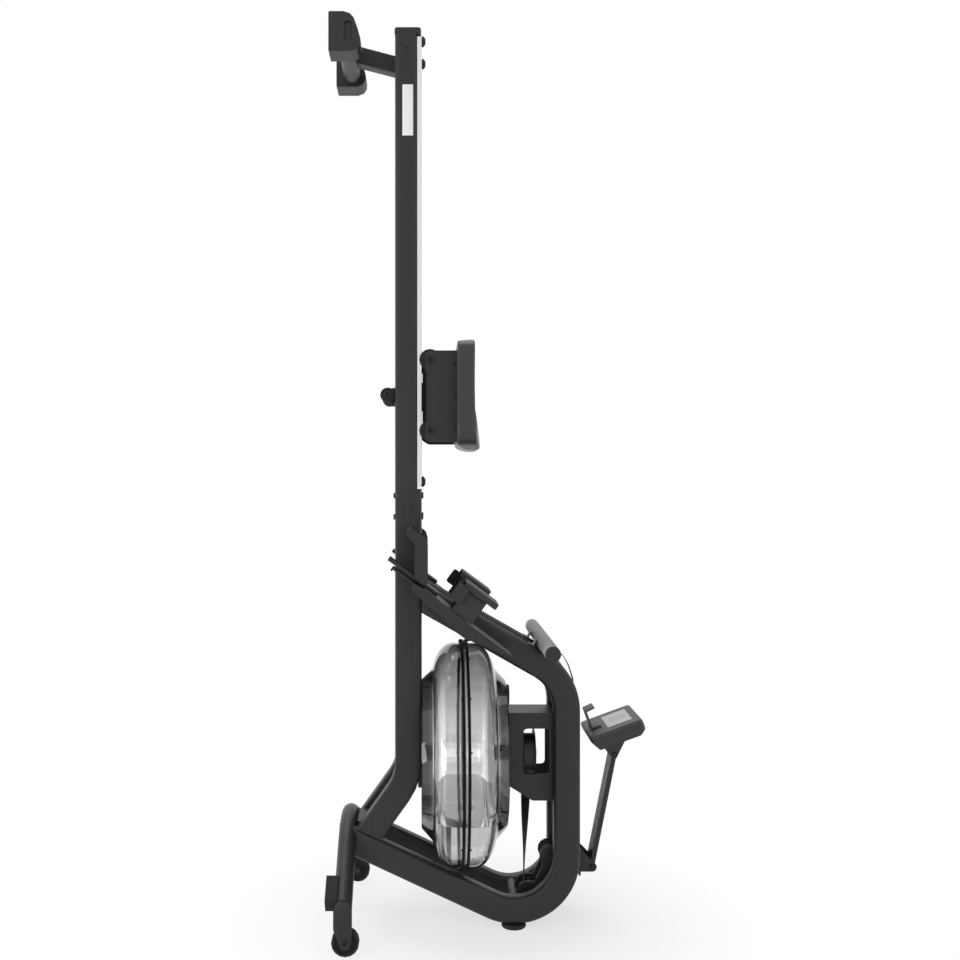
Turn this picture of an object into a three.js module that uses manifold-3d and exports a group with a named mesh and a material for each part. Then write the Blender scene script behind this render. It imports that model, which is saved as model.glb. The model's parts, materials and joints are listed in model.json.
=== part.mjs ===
// A water rowing machine, parked upright: its rail points up, and it stands on two wheels and two
// rubber feet.
// Millimetres. +Z runs up the rail, +X away from the floor that the machine stands on in use, Y across it.
import * as THREE from 'three';
import { mergeVertices } from 'three/addons/utils/BufferGeometryUtils.js';
import Module from 'manifold-3d';

const wasm = await Module();
wasm.setup();

// Clearances and cutters shared by the whole machine
const seatGap = 0.3; // between pieces that touch
const overrun = 5; // how far a cutter passes the face that it cuts
const cutterSpan = 900; // size of the block that trims a tube's end
const weldReach = 1; // how far a welded-on detail sinks into what carries it
const weldTolerance = 0.001; // vertices nearer than this are one
const bendStep = THREE.MathUtils.degToRad(15);
const tubeSegments = 2;
const bowSteps = 6;
const bowSegments = 8;
const bowBoreSegments = 4;

// Bent frame tubes, one set on each side of the middle plane
const tubeWidth = 60;
const tubeDepth = 40;
const tubeCorner = 8;
const tubeWall = 2;
const bendRadius = 120;
const frameSpread = 72;
const storageFootHeight = 9.6;
const storageFootRadius = 28;
const frontTubeX = 536;
const armBendZ = 492.8;
const armRun = 400;
const lowerRun = 420;
const loopTongue = 8;
const postX = 176;
const postTopZ = 996;
const postBendZ = 376.3;
const legRun = 240;
const armSlope = THREE.MathUtils.degToRad(29.6);
const lowerSlope = THREE.MathUtils.degToRad(24.9);
const legSlope = THREE.MathUtils.degToRad(35.6);

// Joint between post and rail
const spigotAbove = 55;
const spigotBelow = 70;
const jointBoltRadius = 6.5;
const jointBoltHead = 4;
const boltSides = 8;
const jointBoltDrop = 14.3;
const jointBoltPitch = 48.1;
const sideBoltDrop = 40.7;

// Rails and their running tracks
const railWidth = 50;
const railDepth = 40;
const railCorner = 6;
const railWall = 2;
const railTopZ = 2030;
const trackWidth = 32;
const trackGroove = 12;
const trackGrooveDepth = 2.5;
const trackStart = 5;
const trackStop = 7.5;
const trackChamfer = 8;
const capHead = 12;
const capLip = 5;
const capPlug = 30;
const capPlugFit = 0.4;
const capOverhang = 1;
const capRound = 7;
const railBoltRadius = 4.5;
const railBoltHead = 3;
const railBoltDrop = 28.3;
const railBoltPitch = 38.9;
const bumperRadius = 12;
const bumperTipRadius = 6;
const bumperHeight = 9;
const bumperInset = 6.5;
const bumperSides = 12;

// Rear stabilizer and its end caps, which are the rear feet in use
const crossbarX = 38.5;
const crossbarDrop = 38; // below the rail's top end
const crossbarZ = railTopZ - crossbarDrop;
const crossbarRadius = 20;
const crossbarWall = 2;
const neckSize = 40;
const neckCorner = 5;
const neckRise = 19.5;
const neckTilt = THREE.MathUtils.degToRad(14.7);
const neckStart = 6;
const memberSettle = 3;
const neckLength = 128;
const memberHeight = 52;
const memberWidth = 42;
const rearFootInner = 85;
const rearFootOuter = 152;
const rearFootDepth = 71;
const rearFootHalfHeight = 44.3;
const rearFootRise = 24.6; // above the rail's top end
const rearFootTopZ = railTopZ + rearFootRise;
const rearFootWall = 12;
const rearFootCorner = 3;
const rearSlotForward = 5;
const rearSlotRaise = 19.5;
const rearSlotWidth = 17;
const rearSlotHeight = 42;
const rearSlotDepth = 6;

// Front stabilizer, a bowed tube between two wheel plates
const bowX = 38.5;
const bowRadius = 20;
const bowWall = 2;
const bowCrestZ = 234.4;
const bowArc = 184;
const bowSlope = THREE.MathUtils.degToRad(35.5);
const wheelPlateY = 247.5;
const wheelPlate = 4;
const wheelPlateStraight = 40;
const wheelTongue = 13;
const wheelX = 43.6;
const wheelRadius = 30;
const wheelWidth = 21;
const wheelHub = 11;
const wheelDish = 5;
const wheelRim = 6;
const wheelBolt = 5;
const wheelBoltHead = 6.5;
const wheelBoltHeadHeight = 4;
const padInner = 185;
const padOuter = 240;
const padWidth = 38;
const padCorner = 6;
const padWrap = 8;
const wheelNut = 5;
const plateShoulderShare = 0.6;
const bowPlugY = 235;
const bowVent = 3;
const saddleDepth = 20;
const saddleHeight = 34;
const saddleWall = 4;
const saddleBoltRadius = 6;
const saddleBoltHead = 5;
const saddleBoltSpread = 30;

// Tank
const mountPlate = 8;
const mountPlateBottom = 308;
const mountPlateHeight = 392;
const mountPlateCorner = 12;
const tankZ = 379;
const tankRadius = 256;
const tankWall = 4;
const tankRimHeight = 23;
const tankShoulder = 50;
const tankShoulderReach = 76;
const tankHubFoot = 196;
const tankHubRadius = 170;
const tankHubHeight = 97.3;
const tankFlange = 8;
const tankFlangeThick = 2.5;
const ringThick = 3;
const ringReach = 8; // past the tank's wall
const ringOuter = tankRadius + ringReach;
const ringScrews = 10;
const ringScrewRadius = 2.6;
const ringScrewHeight = 3;
const ringScrewInset = 3.6;
const tankBossRadius = 40;
const tankSides = 32;
const shoulderSteps = 3;
const plugRadius = 24;
const plugHeight = 9;
const plugFromAxis = 136;
const plugHole = 20;

// Impeller
const shaftRadius = 9;
const shaftFit = 0.4;
const shaftTail = 8;
const bearingRadius = 18;
const bearingDepth = 12;
const impellerHub = 30;
const impellerHubLength = 110;
const impellerBlades = 6;
const bladeTip = 200;
const bladeHeight = 92;
const bladeThick = 4;
const bladeRoot = 3; // how far a blade reaches into the hub
const bladeSag = 26;
const bladeRingRadius = 96;
const bladeRingWidth = 10;
const bladeRingThick = 5;

// Drive bracket between the frame loops
const driveLeft = 406;
const driveLap = 34;
const driveTop = 482.5;
const driveBottom = 280.7;
const drivePlate = 3;
const driveWindowLeft = 440;
const driveWindowRight = 499;
const driveWindowBottom = 342;
const driveWindowTop = 446;
const driveWindowCorner = 10;
const driveCurveX = 55;
const driveCurveZ = 34;
const driveBoreRadius = 24;

// Reel, strap and its pulleys
const reelX = 455;
const reelFlange = 57;
const reelDrum = 46;
const reelFlangeThick = 2;
const strapWidth = 22;
const strapThick = 1.6;
const reelSlack = 1.2;
const lowerIdlerX = 458;
const lowerIdlerZ = 68;
const lowerIdlerRadius = 12;
const upperIdlerX = 503.6;
const upperIdlerZ = 147;
const upperIdlerRadius = 19;
const idlerFlange = 4;
const idlerFlangeThick = 2.5;
const idlerHub = 9;
const idlerHalf = 25.7;
const idlerPin = 5;
const idlerPlate = 4;
const idlerCrossX = 419;
const idlerCrossZ = 56;
const idlerCrossRadius = 12.5;
const idlerCrossWall = 2;
const idlerLobe = 20;
const idlerUpperLobe = 24;
const idlerNeck = 19; // from the upper idler's axis to the notch below its lobe
const idlerNotch = THREE.MathUtils.degToRad(215);
const idlerWaist = 15;
const idlerPinHead = 3;
const guideX = 530;
const guideZ = 515;
const guideRadius = 27.5;
const guideFlange = 3;
const guideHalf = 22;
const guideAxle = 6;

// Handle and the lips that it lies between
const handleX = 486.9;
const handleZ = 645.6;
const handleRadius = 17;
const handleHalf = 251;
const handleCap = 6;
const handleCore = 12.5;
const lipThick = 3;
const lipHeight = 18;
const lipWidth = 30;
const lipFoot = 10;
const lipGap = 0.8; // below the handle
const lipUphillGap = 2.5; // behind the handle, which leaves past this lip
const lipSink = 2.7;

// Seat and its rollers
const seatPadBottom = 286.3;
const seatPadLow = 1087.7;
const seatPadHigh = 1333.6;
const seatPadHalf = 145;
const seatPadThick = 40;
const seatPadNose = 14;
const carriageLow = 1103;
const carriageHigh = 1310;
const carriageInner = 93;
const carriagePlate = 3.5;
const carriageBottom = 214;
const carriageTop = 286;
const topRollerX = 225;
const topRollerLow = 1129;
const topRollerHigh = 1290;
const topRollerRadius = 18.7;
const topRollerFlange = 24;
const topRollerInner = 58;
const topRollerStep = 88.5;
const topRollerOuter = 92.2;
const lowRollerX = 128.9;
const lowRollerZ = 1210.5;
const lowRollerRadius = 16.8;
const lowRollerInner = 60;
const lowRollerOuter = 84;
const hangerInner = 45;
const hangerPlate = 3.5;
const hangerWidth = 44;
const axleRadius = 5;
const axleFit = 0.3;
const axleSides = 8;
const axleHead = 8.4;
const axleHeadHeight = 5;
const carriageCorner = 12;

// Footrests, in a frame that runs down along the board's top face from its heel
const boardX = 187;
const boardZ = 795;
const boardLength = 268;
const boardDeep = 28.6;
const boardInner = 98;
const boardOuter = 208;
const boardSkin = 5;
const boardTilt = THREE.MathUtils.degToRad(36.4);
const flangeStart = 62;
const flangeLength = 128;
const flangeLow = 40;
const flangeHigh = 6;
const flangeCorner = 10;
const tongueLength = 54;
const tongueHalf = 18;
const tongueLow = 6;
const tongueLip = 4;
const tongueRoot = 10; // how far the tongue reaches into the board
const sliderThick = 8;
const sliderHalf = 23;
const sliderTail = 72;
const sliderReach = 62;
const cupHeight = 92;
const cupWing = 29;
const cupWall = 4;
const cupInset = 2;
const cupCorner = 6;
const cupForward = 11.3;
const cupBase = -8;
const sliderLift = 4.8;
const strapSeat = 2.4;
const strapLow = 103;
const strapBand = 54;
const strapRise = 72;
const strapInset = 3;
const strapSkin = 2.5;
const strapCorner = 30;
const padLow = 96;
const padBand = 84;
const padSkin = 4;
const padDrop = 14; // how far the pad comes down at its sides
const buckleLow = 82;
const buckleBand = 28;
const buckleFrom = 22;
const buckleHeight = 38;
const buckleThick = 7;
const buckleCorner = 5;

// Console mast and its bracket
const mastPivotX = 600.4;
const mastPivotZ = 122.4;
const mastTopX = 652.4;
const mastTopZ = 382.1;
const mastThick = 11;
const mastHalf = 29;
const mastWall = 2;
const mastPin = 4;
const mastPinHead = 3;
const mastEar = 4;
const mastEarGap = 1;
const mastLobe = 10.6;
const mastEarSlope = THREE.MathUtils.degToRad(53);
const mastBase = 4;
const mastBaseHalf = 62;
const mastBaseLow = 112;
const mastBaseHigh = 172;
const mastRound = 10;

// Console, in a frame at the mast's top pivot whose X runs along the display
const consoleTilt = THREE.MathUtils.degToRad(20);
const consoleLow = -44;
const consoleHigh = 84;
const consoleBack = 35;
const consoleFace = 69.7;
const consoleHalf = 87;
const consoleCorner = 5;
const consolePlanCorner = 14;
const consoleLug = 4;
const consoleLugTop = 48;
const displayLow = 5;
const displayLength = 60;
const displayHalf = 57;
const displayThick = 2;
const displaySink = 1.5;
const holderHalf = 24;
const holderLow = -30;
const holderDeep = 24;
const holderRise = 46;
const holderWall = 4;
const holderLip = 7;
const holderCorner = 1;

// The strap's slack between the guide roller and the handle, in side view
const slackRoute = [[559.6, 533], [559.3, 551.8], [552, 575.7], [544.5, 593.7], [534.2, 608.5]];
const strapTongue = 34;
const tongueHalfWidth = 12;
const tongueThick = 6;
const twistSteps = 10;
const twistClear = 34; // straight run above the lower idler
const arcStep = THREE.MathUtils.degToRad(24);
const slackSteps = 9;

// Materials
const surface = (color, roughness, metalness) => new THREE.MeshStandardMaterial({
  color,
  roughness,
  metalness,
});
const paint = surface(0x2c2c2d, 0.45, 0.3);
const blackPlastic = surface(0x161617, 0.5, 0);
const rubber = surface(0x101011, 0.85, 0);
const aluminium = surface(0xd4d6d8, 0.35, 0.9);
const steel = surface(0x9a9ca0, 0.3, 1);
const smokedClear = surface(0x8c8f92, 0.1, 0);
const webbing = surface(0x1b1b1c, 0.9, 0);
const foam = surface(0x8f9091, 0.9, 0);
const vinyl = surface(0x3b3b3c, 0.6, 0);
const glass = surface(0xbfc6c2, 0.15, 0);

// Places that follow from the sizes
const frameInner = frameSpread - tubeDepth / 2;
const frameOuter = frameSpread + tubeDepth / 2;
const halfTube = tubeWidth / 2;
const lowerBendZ = storageFootHeight + seatGap + bendRadius + halfTube;
const bendX = frontTubeX - bendRadius;
const lowerFaceWay = -Math.PI / 2 - lowerSlope;
const postFaceX = postX + halfTube;
const railX = postX - (tubeWidth - railWidth) / 2;
const railFaceX = railX + railWidth / 2;
const tankX = postFaceX + seatGap + tankHubHeight;
const SIDES = { near: -1, far: 1 };
const PLANES = ['x', 'y', 'z'];

// A solid from a three.js geometry, with its shared vertices merged and its faces turned outwards.
function solidOf(geometry) {
  const loose = geometry.index ? geometry.toNonIndexed() : geometry;
  const bare = new THREE.BufferGeometry().setAttribute('position', loose.getAttribute('position'));
  const merged = mergeVertices(bare, weldTolerance);
  const triVerts = new Uint32Array(merged.index.array);
  const vertProperties = merged.getAttribute('position').array;
  const made = new wasm.Manifold(new wasm.Mesh({ numProp: 3, vertProperties, triVerts }));
  if (made.volume() > 0) return made;
  for (let i = 0; i < triVerts.length; i += 3) {
    [triVerts[i + 1], triVerts[i + 2]] = [triVerts[i + 2], triVerts[i + 1]];
  }
  return new wasm.Manifold(new wasm.Mesh({ numProp: 3, vertProperties, triVerts }));
}

const join = (...solids) => solids.reduce((whole, solid) => whole.add(solid));
const cut = (solid, ...cutters) => cutters.reduce((whole, cutter) => whole.subtract(cutter), solid);

// A named mesh from a solid.
function piece(name, solid, material) {
  const { vertProperties, triVerts, numProp } = solid.getMesh();
  const points = [];
  for (let i = 0; i < vertProperties.length; i += numProp) points.push(...vertProperties.slice(i, i + 3));
  const geometry = new THREE.BufferGeometry();
  geometry.setAttribute('position', new THREE.Float32BufferAttribute(points, 3));
  geometry.setIndex([...triVerts]);
  const mesh = new THREE.Mesh(geometry, material);
  mesh.name = name;
  return mesh;
}

// A box between two opposite corners, given as one pair for each axis.
function box([x0, x1], [y0, y1], [z0, z1]) {
  const geometry = new THREE.BoxGeometry(Math.abs(x1 - x0), Math.abs(y1 - y0), Math.abs(z1 - z0));
  return solidOf(geometry.translate((x0 + x1) / 2, (y0 + y1) / 2, (z0 + z1) / 2));
}

// Turns what was made along +Z so that it runs along another axis: x to y, y to z for X, and x to x, y
// to z for Y.
function turned(geometry, axis) {
  const basis = {
    x: new THREE.Matrix4().makeBasis(
      new THREE.Vector3(0, 1, 0),
      new THREE.Vector3(0, 0, 1),
      new THREE.Vector3(1, 0, 0),
    ),
    y: new THREE.Matrix4().makeBasis(
      new THREE.Vector3(1, 0, 0),
      new THREE.Vector3(0, 0, 1),
      new THREE.Vector3(0, -1, 0),
    ),
    z: new THREE.Matrix4(),
  };
  return geometry.applyMatrix4(basis[axis]);
}

// An outline carried from one place to another along an axis.
function prism(outline, axis, from, to, segments = 3) {
  const depth = Math.abs(to - from);
  const geometry = new THREE.ExtrudeGeometry(
    outline,
    { depth, bevelEnabled: false, curveSegments: segments },
  );
  turned(geometry, axis);
  const start = axis === 'y' ? Math.max(from, to) : Math.min(from, to);
  const shift = PLANES.map((name) => (name === axis ? start : 0));
  return solidOf(geometry.translate(...shift));
}

// A round bar along an axis. Its centre gives the other two places, in the order X, Y, Z.
function rod(axis, radius, centre, from, to, sides = 16, farRadius = radius) {
  const geometry = new THREE.CylinderGeometry(farRadius, radius, Math.abs(to - from), sides);
  geometry.rotateX(Math.PI / 2);
  turned(geometry, axis);
  if (axis === 'y') geometry.rotateX(Math.PI);
  const places = [...centre];
  places.splice(PLANES.indexOf(axis), 0, (from + to) / 2);
  return solidOf(geometry.translate(...places));
}

// A turned body: the profile holds pairs of radius and place along the axis.
function lathe(profile, axis, centre, sides = 32) {
  const geometry = new THREE.LatheGeometry(profile.map(([r, h]) => new THREE.Vector2(r, h)), sides);
  geometry.rotateX(Math.PI / 2);
  turned(geometry, axis);
  if (axis === 'y') geometry.rotateX(Math.PI);
  const places = [...centre];
  places.splice(PLANES.indexOf(axis), 0, 0);
  return solidOf(geometry.translate(...places));
}

// A closed outline whose corners are rounded by one radius, or by one radius each.
function outline(points, radius = 0) {
  const shape = new THREE.Shape();
  const corners = points.map(([x, y]) => new THREE.Vector2(x, y));
  corners.forEach((corner, i) => {
    const before = corners.at(i - 1).clone().sub(corner);
    const after = corners[(i + 1) % corners.length].clone().sub(corner);
    const half = Math.acos(THREE.MathUtils.clamp(
      before.dot(after) / before.length() / after.length(),
      -1,
      1,
    )) / 2;
    const wanted = (Array.isArray(radius) ? radius[i] : radius) / Math.tan(half);
    const reach = Math.min(wanted, before.length() / 2, after.length() / 2);
    const enter = corner.clone().add(before.setLength(reach));
    const leave = corner.clone().add(after.setLength(reach));
    if (i === 0) shape.moveTo(enter.x, enter.y);
    else shape.lineTo(enter.x, enter.y);
    if (reach > 0) shape.quadraticCurveTo(corner.x, corner.y, leave.x, leave.y);
  });
  shape.closePath();
  return shape;
}

// A rectangle with rounded corners about a centre.
function block(width, height, radius = 0, x = 0, y = 0) {
  const [w, h] = [width / 2, height / 2];
  return outline([[x - w, y - h], [x + w, y - h], [x + w, y + h], [x - w, y + h]], radius);
}

function circle(radius, x = 0, y = 0) {
  return new THREE.Shape().absarc(x, y, radius, 0, Math.PI * 2);
}

// A rectangle with its corners cut straight, for the inside of a tube
function chamfered(width, height, corner, x = 0, y = 0) {
  const [w, h] = [width / 2, height / 2];
  const quarter = [[w, h - corner], [w - corner, h]];
  const turns = [[1, 1], [-1, 1], [-1, -1], [1, -1]];
  const points = turns.flatMap(([a, b]) => {
    const pair = quarter.map(([px, py]) => new THREE.Vector2(x + a * px, y + b * py));
    return a * b > 0 ? pair : pair.reverse();
  });
  return new THREE.Shape(points);
}

// A rectangular tube's section, width in side view and depth across the machine.
function tubeSection(width, depth, corner, wall) {
  const section = block(depth, width, corner);
  section.holes.push(chamfered(depth - 2 * wall, width - 2 * wall, corner - wall));
  return section;
}

// A path that is read only at its own stations, each with a point, a heading and the way across it.
class StationPath extends THREE.Curve {
  constructor(stations) {
    super();
    this.stations = stations;
  }
  get steps() {
    return this.stations.length - 1;
  }
  getPoint(share) {
    return this.stations[Math.round(share * this.steps)].point.clone();
  }
  getPointAt(share) {
    return this.getPoint(share);
  }
  computeFrenetFrames() {
    const tangents = this.stations.map(({ heading }) => heading.clone().normalize());
    const normals = this.stations.map(({ across }) => across.clone().normalize());
    const binormals = tangents.map((tangent, i) => new THREE.Vector3().crossVectors(tangent, normals[i]));
    return { tangents, normals, binormals };
  }
}

function sweep(section, stations, segments = 3) {
  const path = new StationPath(stations);
  const settings = { steps: path.steps, extrudePath: path, bevelEnabled: false, curveSegments: segments };
  return solidOf(new THREE.ExtrudeGeometry(section, settings));
}

// Stations of a path in side view: a straight run, arcs that meet tangentially, and a straight run.
function bentStations(y, startRun, arcs, endRun, stepAngle = bendStep) {
  const across = new THREE.Vector3(0, -1, 0);
  const stations = arcs.flatMap(({ centre: [x, z], radius, from, to }) => {
    const count = Math.ceil(Math.abs(to - from) / stepAngle);
    const turn = Math.sign(to - from);
    return Array.from({ length: count + 1 }, (_, i) => {
      const angle = from + ((to - from) * i) / count;
      const point = new THREE.Vector3(x + radius * Math.cos(angle), y, z + radius * Math.sin(angle));
      return {
        point,
        heading: new THREE.Vector3(-turn * Math.sin(angle), 0, turn * Math.cos(angle)),
        across,
      };
    });
  });
  const first = stations[0];
  const last = stations.at(-1);
  const ahead = { ...first, point: first.point.clone().addScaledVector(first.heading, -startRun) };
  const beyond = { ...last, point: last.point.clone().addScaledVector(last.heading, endRun) };
  return [ahead, ...stations, beyond];
}

// A large block whose face passes through a point in side view, on the side that its outward way points to.
function beyondFace([x, z], [outX, outZ]) {
  const geometry = new THREE.BoxGeometry(cutterSpan, cutterSpan, cutterSpan).translate(cutterSpan / 2, 0, 0);
  geometry.rotateY(-Math.atan2(outZ, outX));
  return solidOf(geometry.translate(x, 0, z));
}

// SECTIONS

const machine = new THREE.Group();

// Front stabilizer: the bowed tube's middle line, which the loops are coped around
const bowTangentY = bowArc * Math.sin(bowSlope);
const bowTangentZ = bowCrestZ - bowArc * (1 - Math.cos(bowSlope));
const bowEndZ = bowTangentZ - (wheelPlateY - bowTangentY) * Math.tan(bowSlope);

function bowStations() {
  const across = new THREE.Vector3(1, 0, 0);
  const arc = Array.from({ length: bowSteps + 1 }, (_, i) => {
    const angle = bowSlope * ((2 * i) / bowSteps - 1);
    const point = new THREE.Vector3(
      bowX,
      bowArc * Math.sin(angle),
      bowCrestZ - bowArc * (1 - Math.cos(angle)),
    );
    return { point, heading: new THREE.Vector3(0, Math.cos(angle), -Math.sin(angle)), across };
  });
  const end = (side) => ({
    point: new THREE.Vector3(
      bowX,
      side * (wheelPlateY + bowRadius),
      bowEndZ - bowRadius * Math.tan(bowSlope),
    ),
    heading: new THREE.Vector3(0, Math.cos(bowSlope), -side * Math.sin(bowSlope)),
    across,
  });
  return [end(-1), ...arc, end(1)];
}
const bowOuter = sweep(circle(bowRadius), bowStations(), bowSegments);
const bowClear = sweep(circle(bowRadius + seatGap), bowStations(), bowSegments);

// Frame loops
for (const [where, side] of Object.entries(SIDES)) {
  const y = side * frameSpread;
  const section = tubeSection(tubeWidth, tubeDepth, tubeCorner, tubeWall);
  const arcs = [
    { centre: [bendX, armBendZ], radius: bendRadius, from: Math.PI / 2 - armSlope, to: 0 },
    { centre: [bendX, lowerBendZ], radius: bendRadius, from: 0, to: -Math.PI / 2 - lowerSlope },
  ];
  const tube = sweep(section, bentStations(y, armRun, arcs, lowerRun), tubeSegments);
  const armEnd = box([-cutterSpan, postFaceX + seatGap], [-cutterSpan, cutterSpan], [armBendZ, cutterSpan]);
  const lowerEnd = box(
    [bowX - cutterSpan, bowX + loopTongue],
    [-cutterSpan, cutterSpan],
    [-overrun, postBendZ],
  );
  machine.add(piece(`loop_${where}`, join(cut(tube, armEnd, lowerEnd, bowClear), handleLips(side)), paint));
}

// Handle lips welded on the arms: one behind the handle and one below it, each a foot and a turned-up edge
function handleLips(side) {
  const along = [Math.cos(armSlope), -Math.sin(armSlope)];
  const upward = [Math.sin(armSlope), Math.cos(armSlope)];
  const lip = (way) => {
    const near = handleRadius + (way < 0 ? lipUphillGap : lipGap);
    const far = near + lipThick + lipFoot;
    const low = -handleRadius - lipSink;
    const points = [[near, low], [far, low], [far, low + lipThick], [near + lipThick, low + lipThick]];
    points.push([near + lipThick, low + lipHeight], [near, low + lipHeight]);
    const placed = points.map(([a, b]) => [
      handleX + way * a * along[0] + b * upward[0],
      handleZ + way * a * along[1] + b * upward[1],
    ]);
    return prism(
      outline(placed),
      'y',
      side * (frameSpread - lipWidth / 2),
      side * (frameSpread + lipWidth / 2),
    );
  };
  return join(lip(-1), lip(1));
}

// Posts: straight up to the rail's joint, with a spigot inside that the rail slides over
for (const [where, side] of Object.entries(SIDES)) {
  const y = side * frameSpread;
  const arc = { centre: [postX - bendRadius, postBendZ], radius: bendRadius, from: 0, to: -legSlope };
  const section = tubeSection(tubeWidth, tubeDepth, tubeCorner, tubeWall);
  const tube = sweep(section, bentStations(y, postTopZ - postBendZ, [arc], legRun), tubeSegments);
  const lowerFace = [
    bendX + (bendRadius - halfTube) * Math.cos(lowerFaceWay),
    lowerBendZ + (bendRadius - halfTube) * Math.sin(lowerFaceWay),
  ];
  const outward = [Math.cos(lowerFaceWay), Math.sin(lowerFaceWay)];
  const onTube = lowerFace.map((place, i) => place - seatGap * outward[i]);
  const inside = tubeWidth - 2 * tubeWall + weldReach;
  const plug = box(
    [postX - inside / 2, postX + inside / 2],
    [y - tubeDepth / 2 + tubeWall - weldReach / 2, y + tubeDepth / 2 - tubeWall + weldReach / 2],
    [postTopZ - spigotBelow, postTopZ],
  );
  const bore = railWidth / 2 - railWall - seatGap;
  const boreDepth = railDepth / 2 - railWall - seatGap;
  const sleeve = chamfered(2 * bore, 2 * boreDepth, railCorner - railWall, railX, y);
  const spigot = prism(sleeve, 'z', postTopZ - overrun, postTopZ + spigotAbove);
  const post = [cut(tube, beyondFace(onTube, outward)), plug, spigot];
  for (const drop of [jointBoltDrop, jointBoltDrop + jointBoltPitch]) {
    const z = postTopZ - drop;
    post.push(rod(
      'x',
      jointBoltRadius,
      [y, z],
      postX - halfTube - jointBoltHead,
      postX + halfTube + jointBoltHead,
      boltSides,
    ));
  }
  const outer = y + side * (tubeDepth / 2);
  post.push(rod(
    'y',
    jointBoltRadius,
    [postX, postTopZ - sideBoltDrop],
    outer - side * overrun,
    outer + side * jointBoltHead,
    boltSides,
  ));
  machine.add(piece(`post_${where}`, join(...post), paint));
}

// Rails with their running tracks, bumpers and end caps
for (const [where, side] of Object.entries(SIDES)) {
  const y = side * frameSpread;
  const section = new THREE.Shape(block(railWidth, railDepth, railCorner, railX, y).getPoints(tubeSegments));
  section.holes.push(chamfered(
    railWidth - 2 * railWall,
    railDepth - 2 * railWall,
    railCorner - railWall,
    railX,
    y,
  ));
  const rail = [prism(section, 'z', postTopZ + seatGap, railTopZ)];
  for (const drop of [railBoltDrop, railBoltDrop + railBoltPitch]) {
    const face = side * (frameSpread + railDepth / 2);
    rail.push(rod(
      'y',
      railBoltRadius,
      [railX, railTopZ - drop],
      face - side * weldReach,
      face + side * railBoltHead,
      boltSides,
    ));
  }
  machine.add(piece(`rail_${where}`, join(...rail), paint));

  const [back, front] = [railFaceX + seatGap, postFaceX];
  const [low, high] = [postTopZ + trackStart, railTopZ - trackStop];
  const strip = [
    [back, low],
    [front - trackGrooveDepth, low],
    [front, low + trackChamfer],
    [front, high],
    [back, high],
  ];
  const track = prism(outline(strip), 'y', y - trackWidth / 2, y + trackWidth / 2);
  const groove = box(
    [front - trackGrooveDepth, front + overrun],
    [y - trackGroove / 2, y + trackGroove / 2],
    [low - overrun, high + overrun],
  );
  const bumper = (z) => join(
    rod('x', bumperRadius, [y, z], front - seatGap, front + bumperHeight / 2, bumperSides),
    rod(
      'x',
      bumperRadius,
      [y, z],
      front + bumperHeight / 2,
      front + bumperHeight,
      bumperSides,
      bumperTipRadius,
    ),
  );
  const bumpers = [high - bumperInset, low + bumperInset + bumperRadius / 2].map(bumper);
  machine.add(piece(`rail_track_${where}`, join(cut(track, groove), ...bumpers), aluminium));

  const head = [
    [railX - railWidth / 2 - capOverhang, railTopZ + seatGap],
    [railFaceX, railTopZ + seatGap],
    [railFaceX + seatGap, railTopZ - capLip],
    [postFaceX - capOverhang, railTopZ - capLip],
    [postFaceX - capOverhang, railTopZ + capHead],
    [railX - railWidth / 2 - capOverhang, railTopZ + capHead],
  ];
  const cap = prism(
    outline(head, [0, 0, 0, 2 * capOverhang, capRound, capRound]),
    'y',
    y - railDepth / 2,
    y + railDepth / 2,
  );
  const plugWidth = railWidth - 2 * (railWall + capPlugFit);
  const plugDepth = railDepth - 2 * (railWall + capPlugFit);
  const plugSection = chamfered(plugWidth, plugDepth, railCorner - railWall, railX, y);
  const plug = prism(plugSection, 'z', railTopZ - capPlug, railTopZ + capHead / 2);
  machine.add(piece(`rail_end_cap_${where}`, join(cap, plug), blackPlastic));
}

// Rear stabilizer: crossbar, neck and the member that ties the two rails together
const memberX = railX;
const memberZ = crossbarZ + neckRise - (memberX - crossbarX) * Math.tan(neckTilt) + memberSettle;
const memberHalf = frameSpread - railDepth / 2 - seatGap;

function slopedBar(size, corner, from, length) {
  const across = new THREE.Vector3(0, -1, 0);
  const heading = new THREE.Vector3(Math.cos(neckTilt), 0, -Math.sin(neckTilt));
  const start = new THREE.Vector3(bowX + from, 0, crossbarZ + neckRise - from * Math.tan(neckTilt));
  const end = start.clone().addScaledVector(heading, length);
  return sweep(
    block(size, size, corner),
    [{ point: start, heading, across }, { point: end, heading, across }],
    2,
  );
}
{
  const inner = rearFootOuter - rearFootWall - seatGap;
  const bars = join(
    rod('y', crossbarRadius, [crossbarX, crossbarZ], -inner, inner, 20),
    slopedBar(neckSize, neckCorner, neckStart, neckLength),
    box(
      [memberX - memberWidth / 2, memberX + memberWidth / 2],
      [-memberHalf, memberHalf],
      [memberZ - memberHeight / 2, memberZ + memberHeight / 2],
    ),
  );
  const bores = join(
    rod('y', crossbarRadius - crossbarWall, [crossbarX, crossbarZ], -inner - overrun, inner + overrun, 16),
    slopedBar(neckSize - 2 * crossbarWall, 0, neckStart - overrun, neckLength + overrun),
    box(
      [memberX - memberWidth / 2 + crossbarWall, memberX + memberWidth / 2 - crossbarWall],
      [-memberHalf - overrun, memberHalf + overrun],
      [memberZ - memberHeight / 2 + crossbarWall, memberZ + memberHeight / 2 - crossbarWall],
    ),
  );
  machine.add(piece('rear_stabilizer', cut(bars, bores), paint));
}

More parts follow.
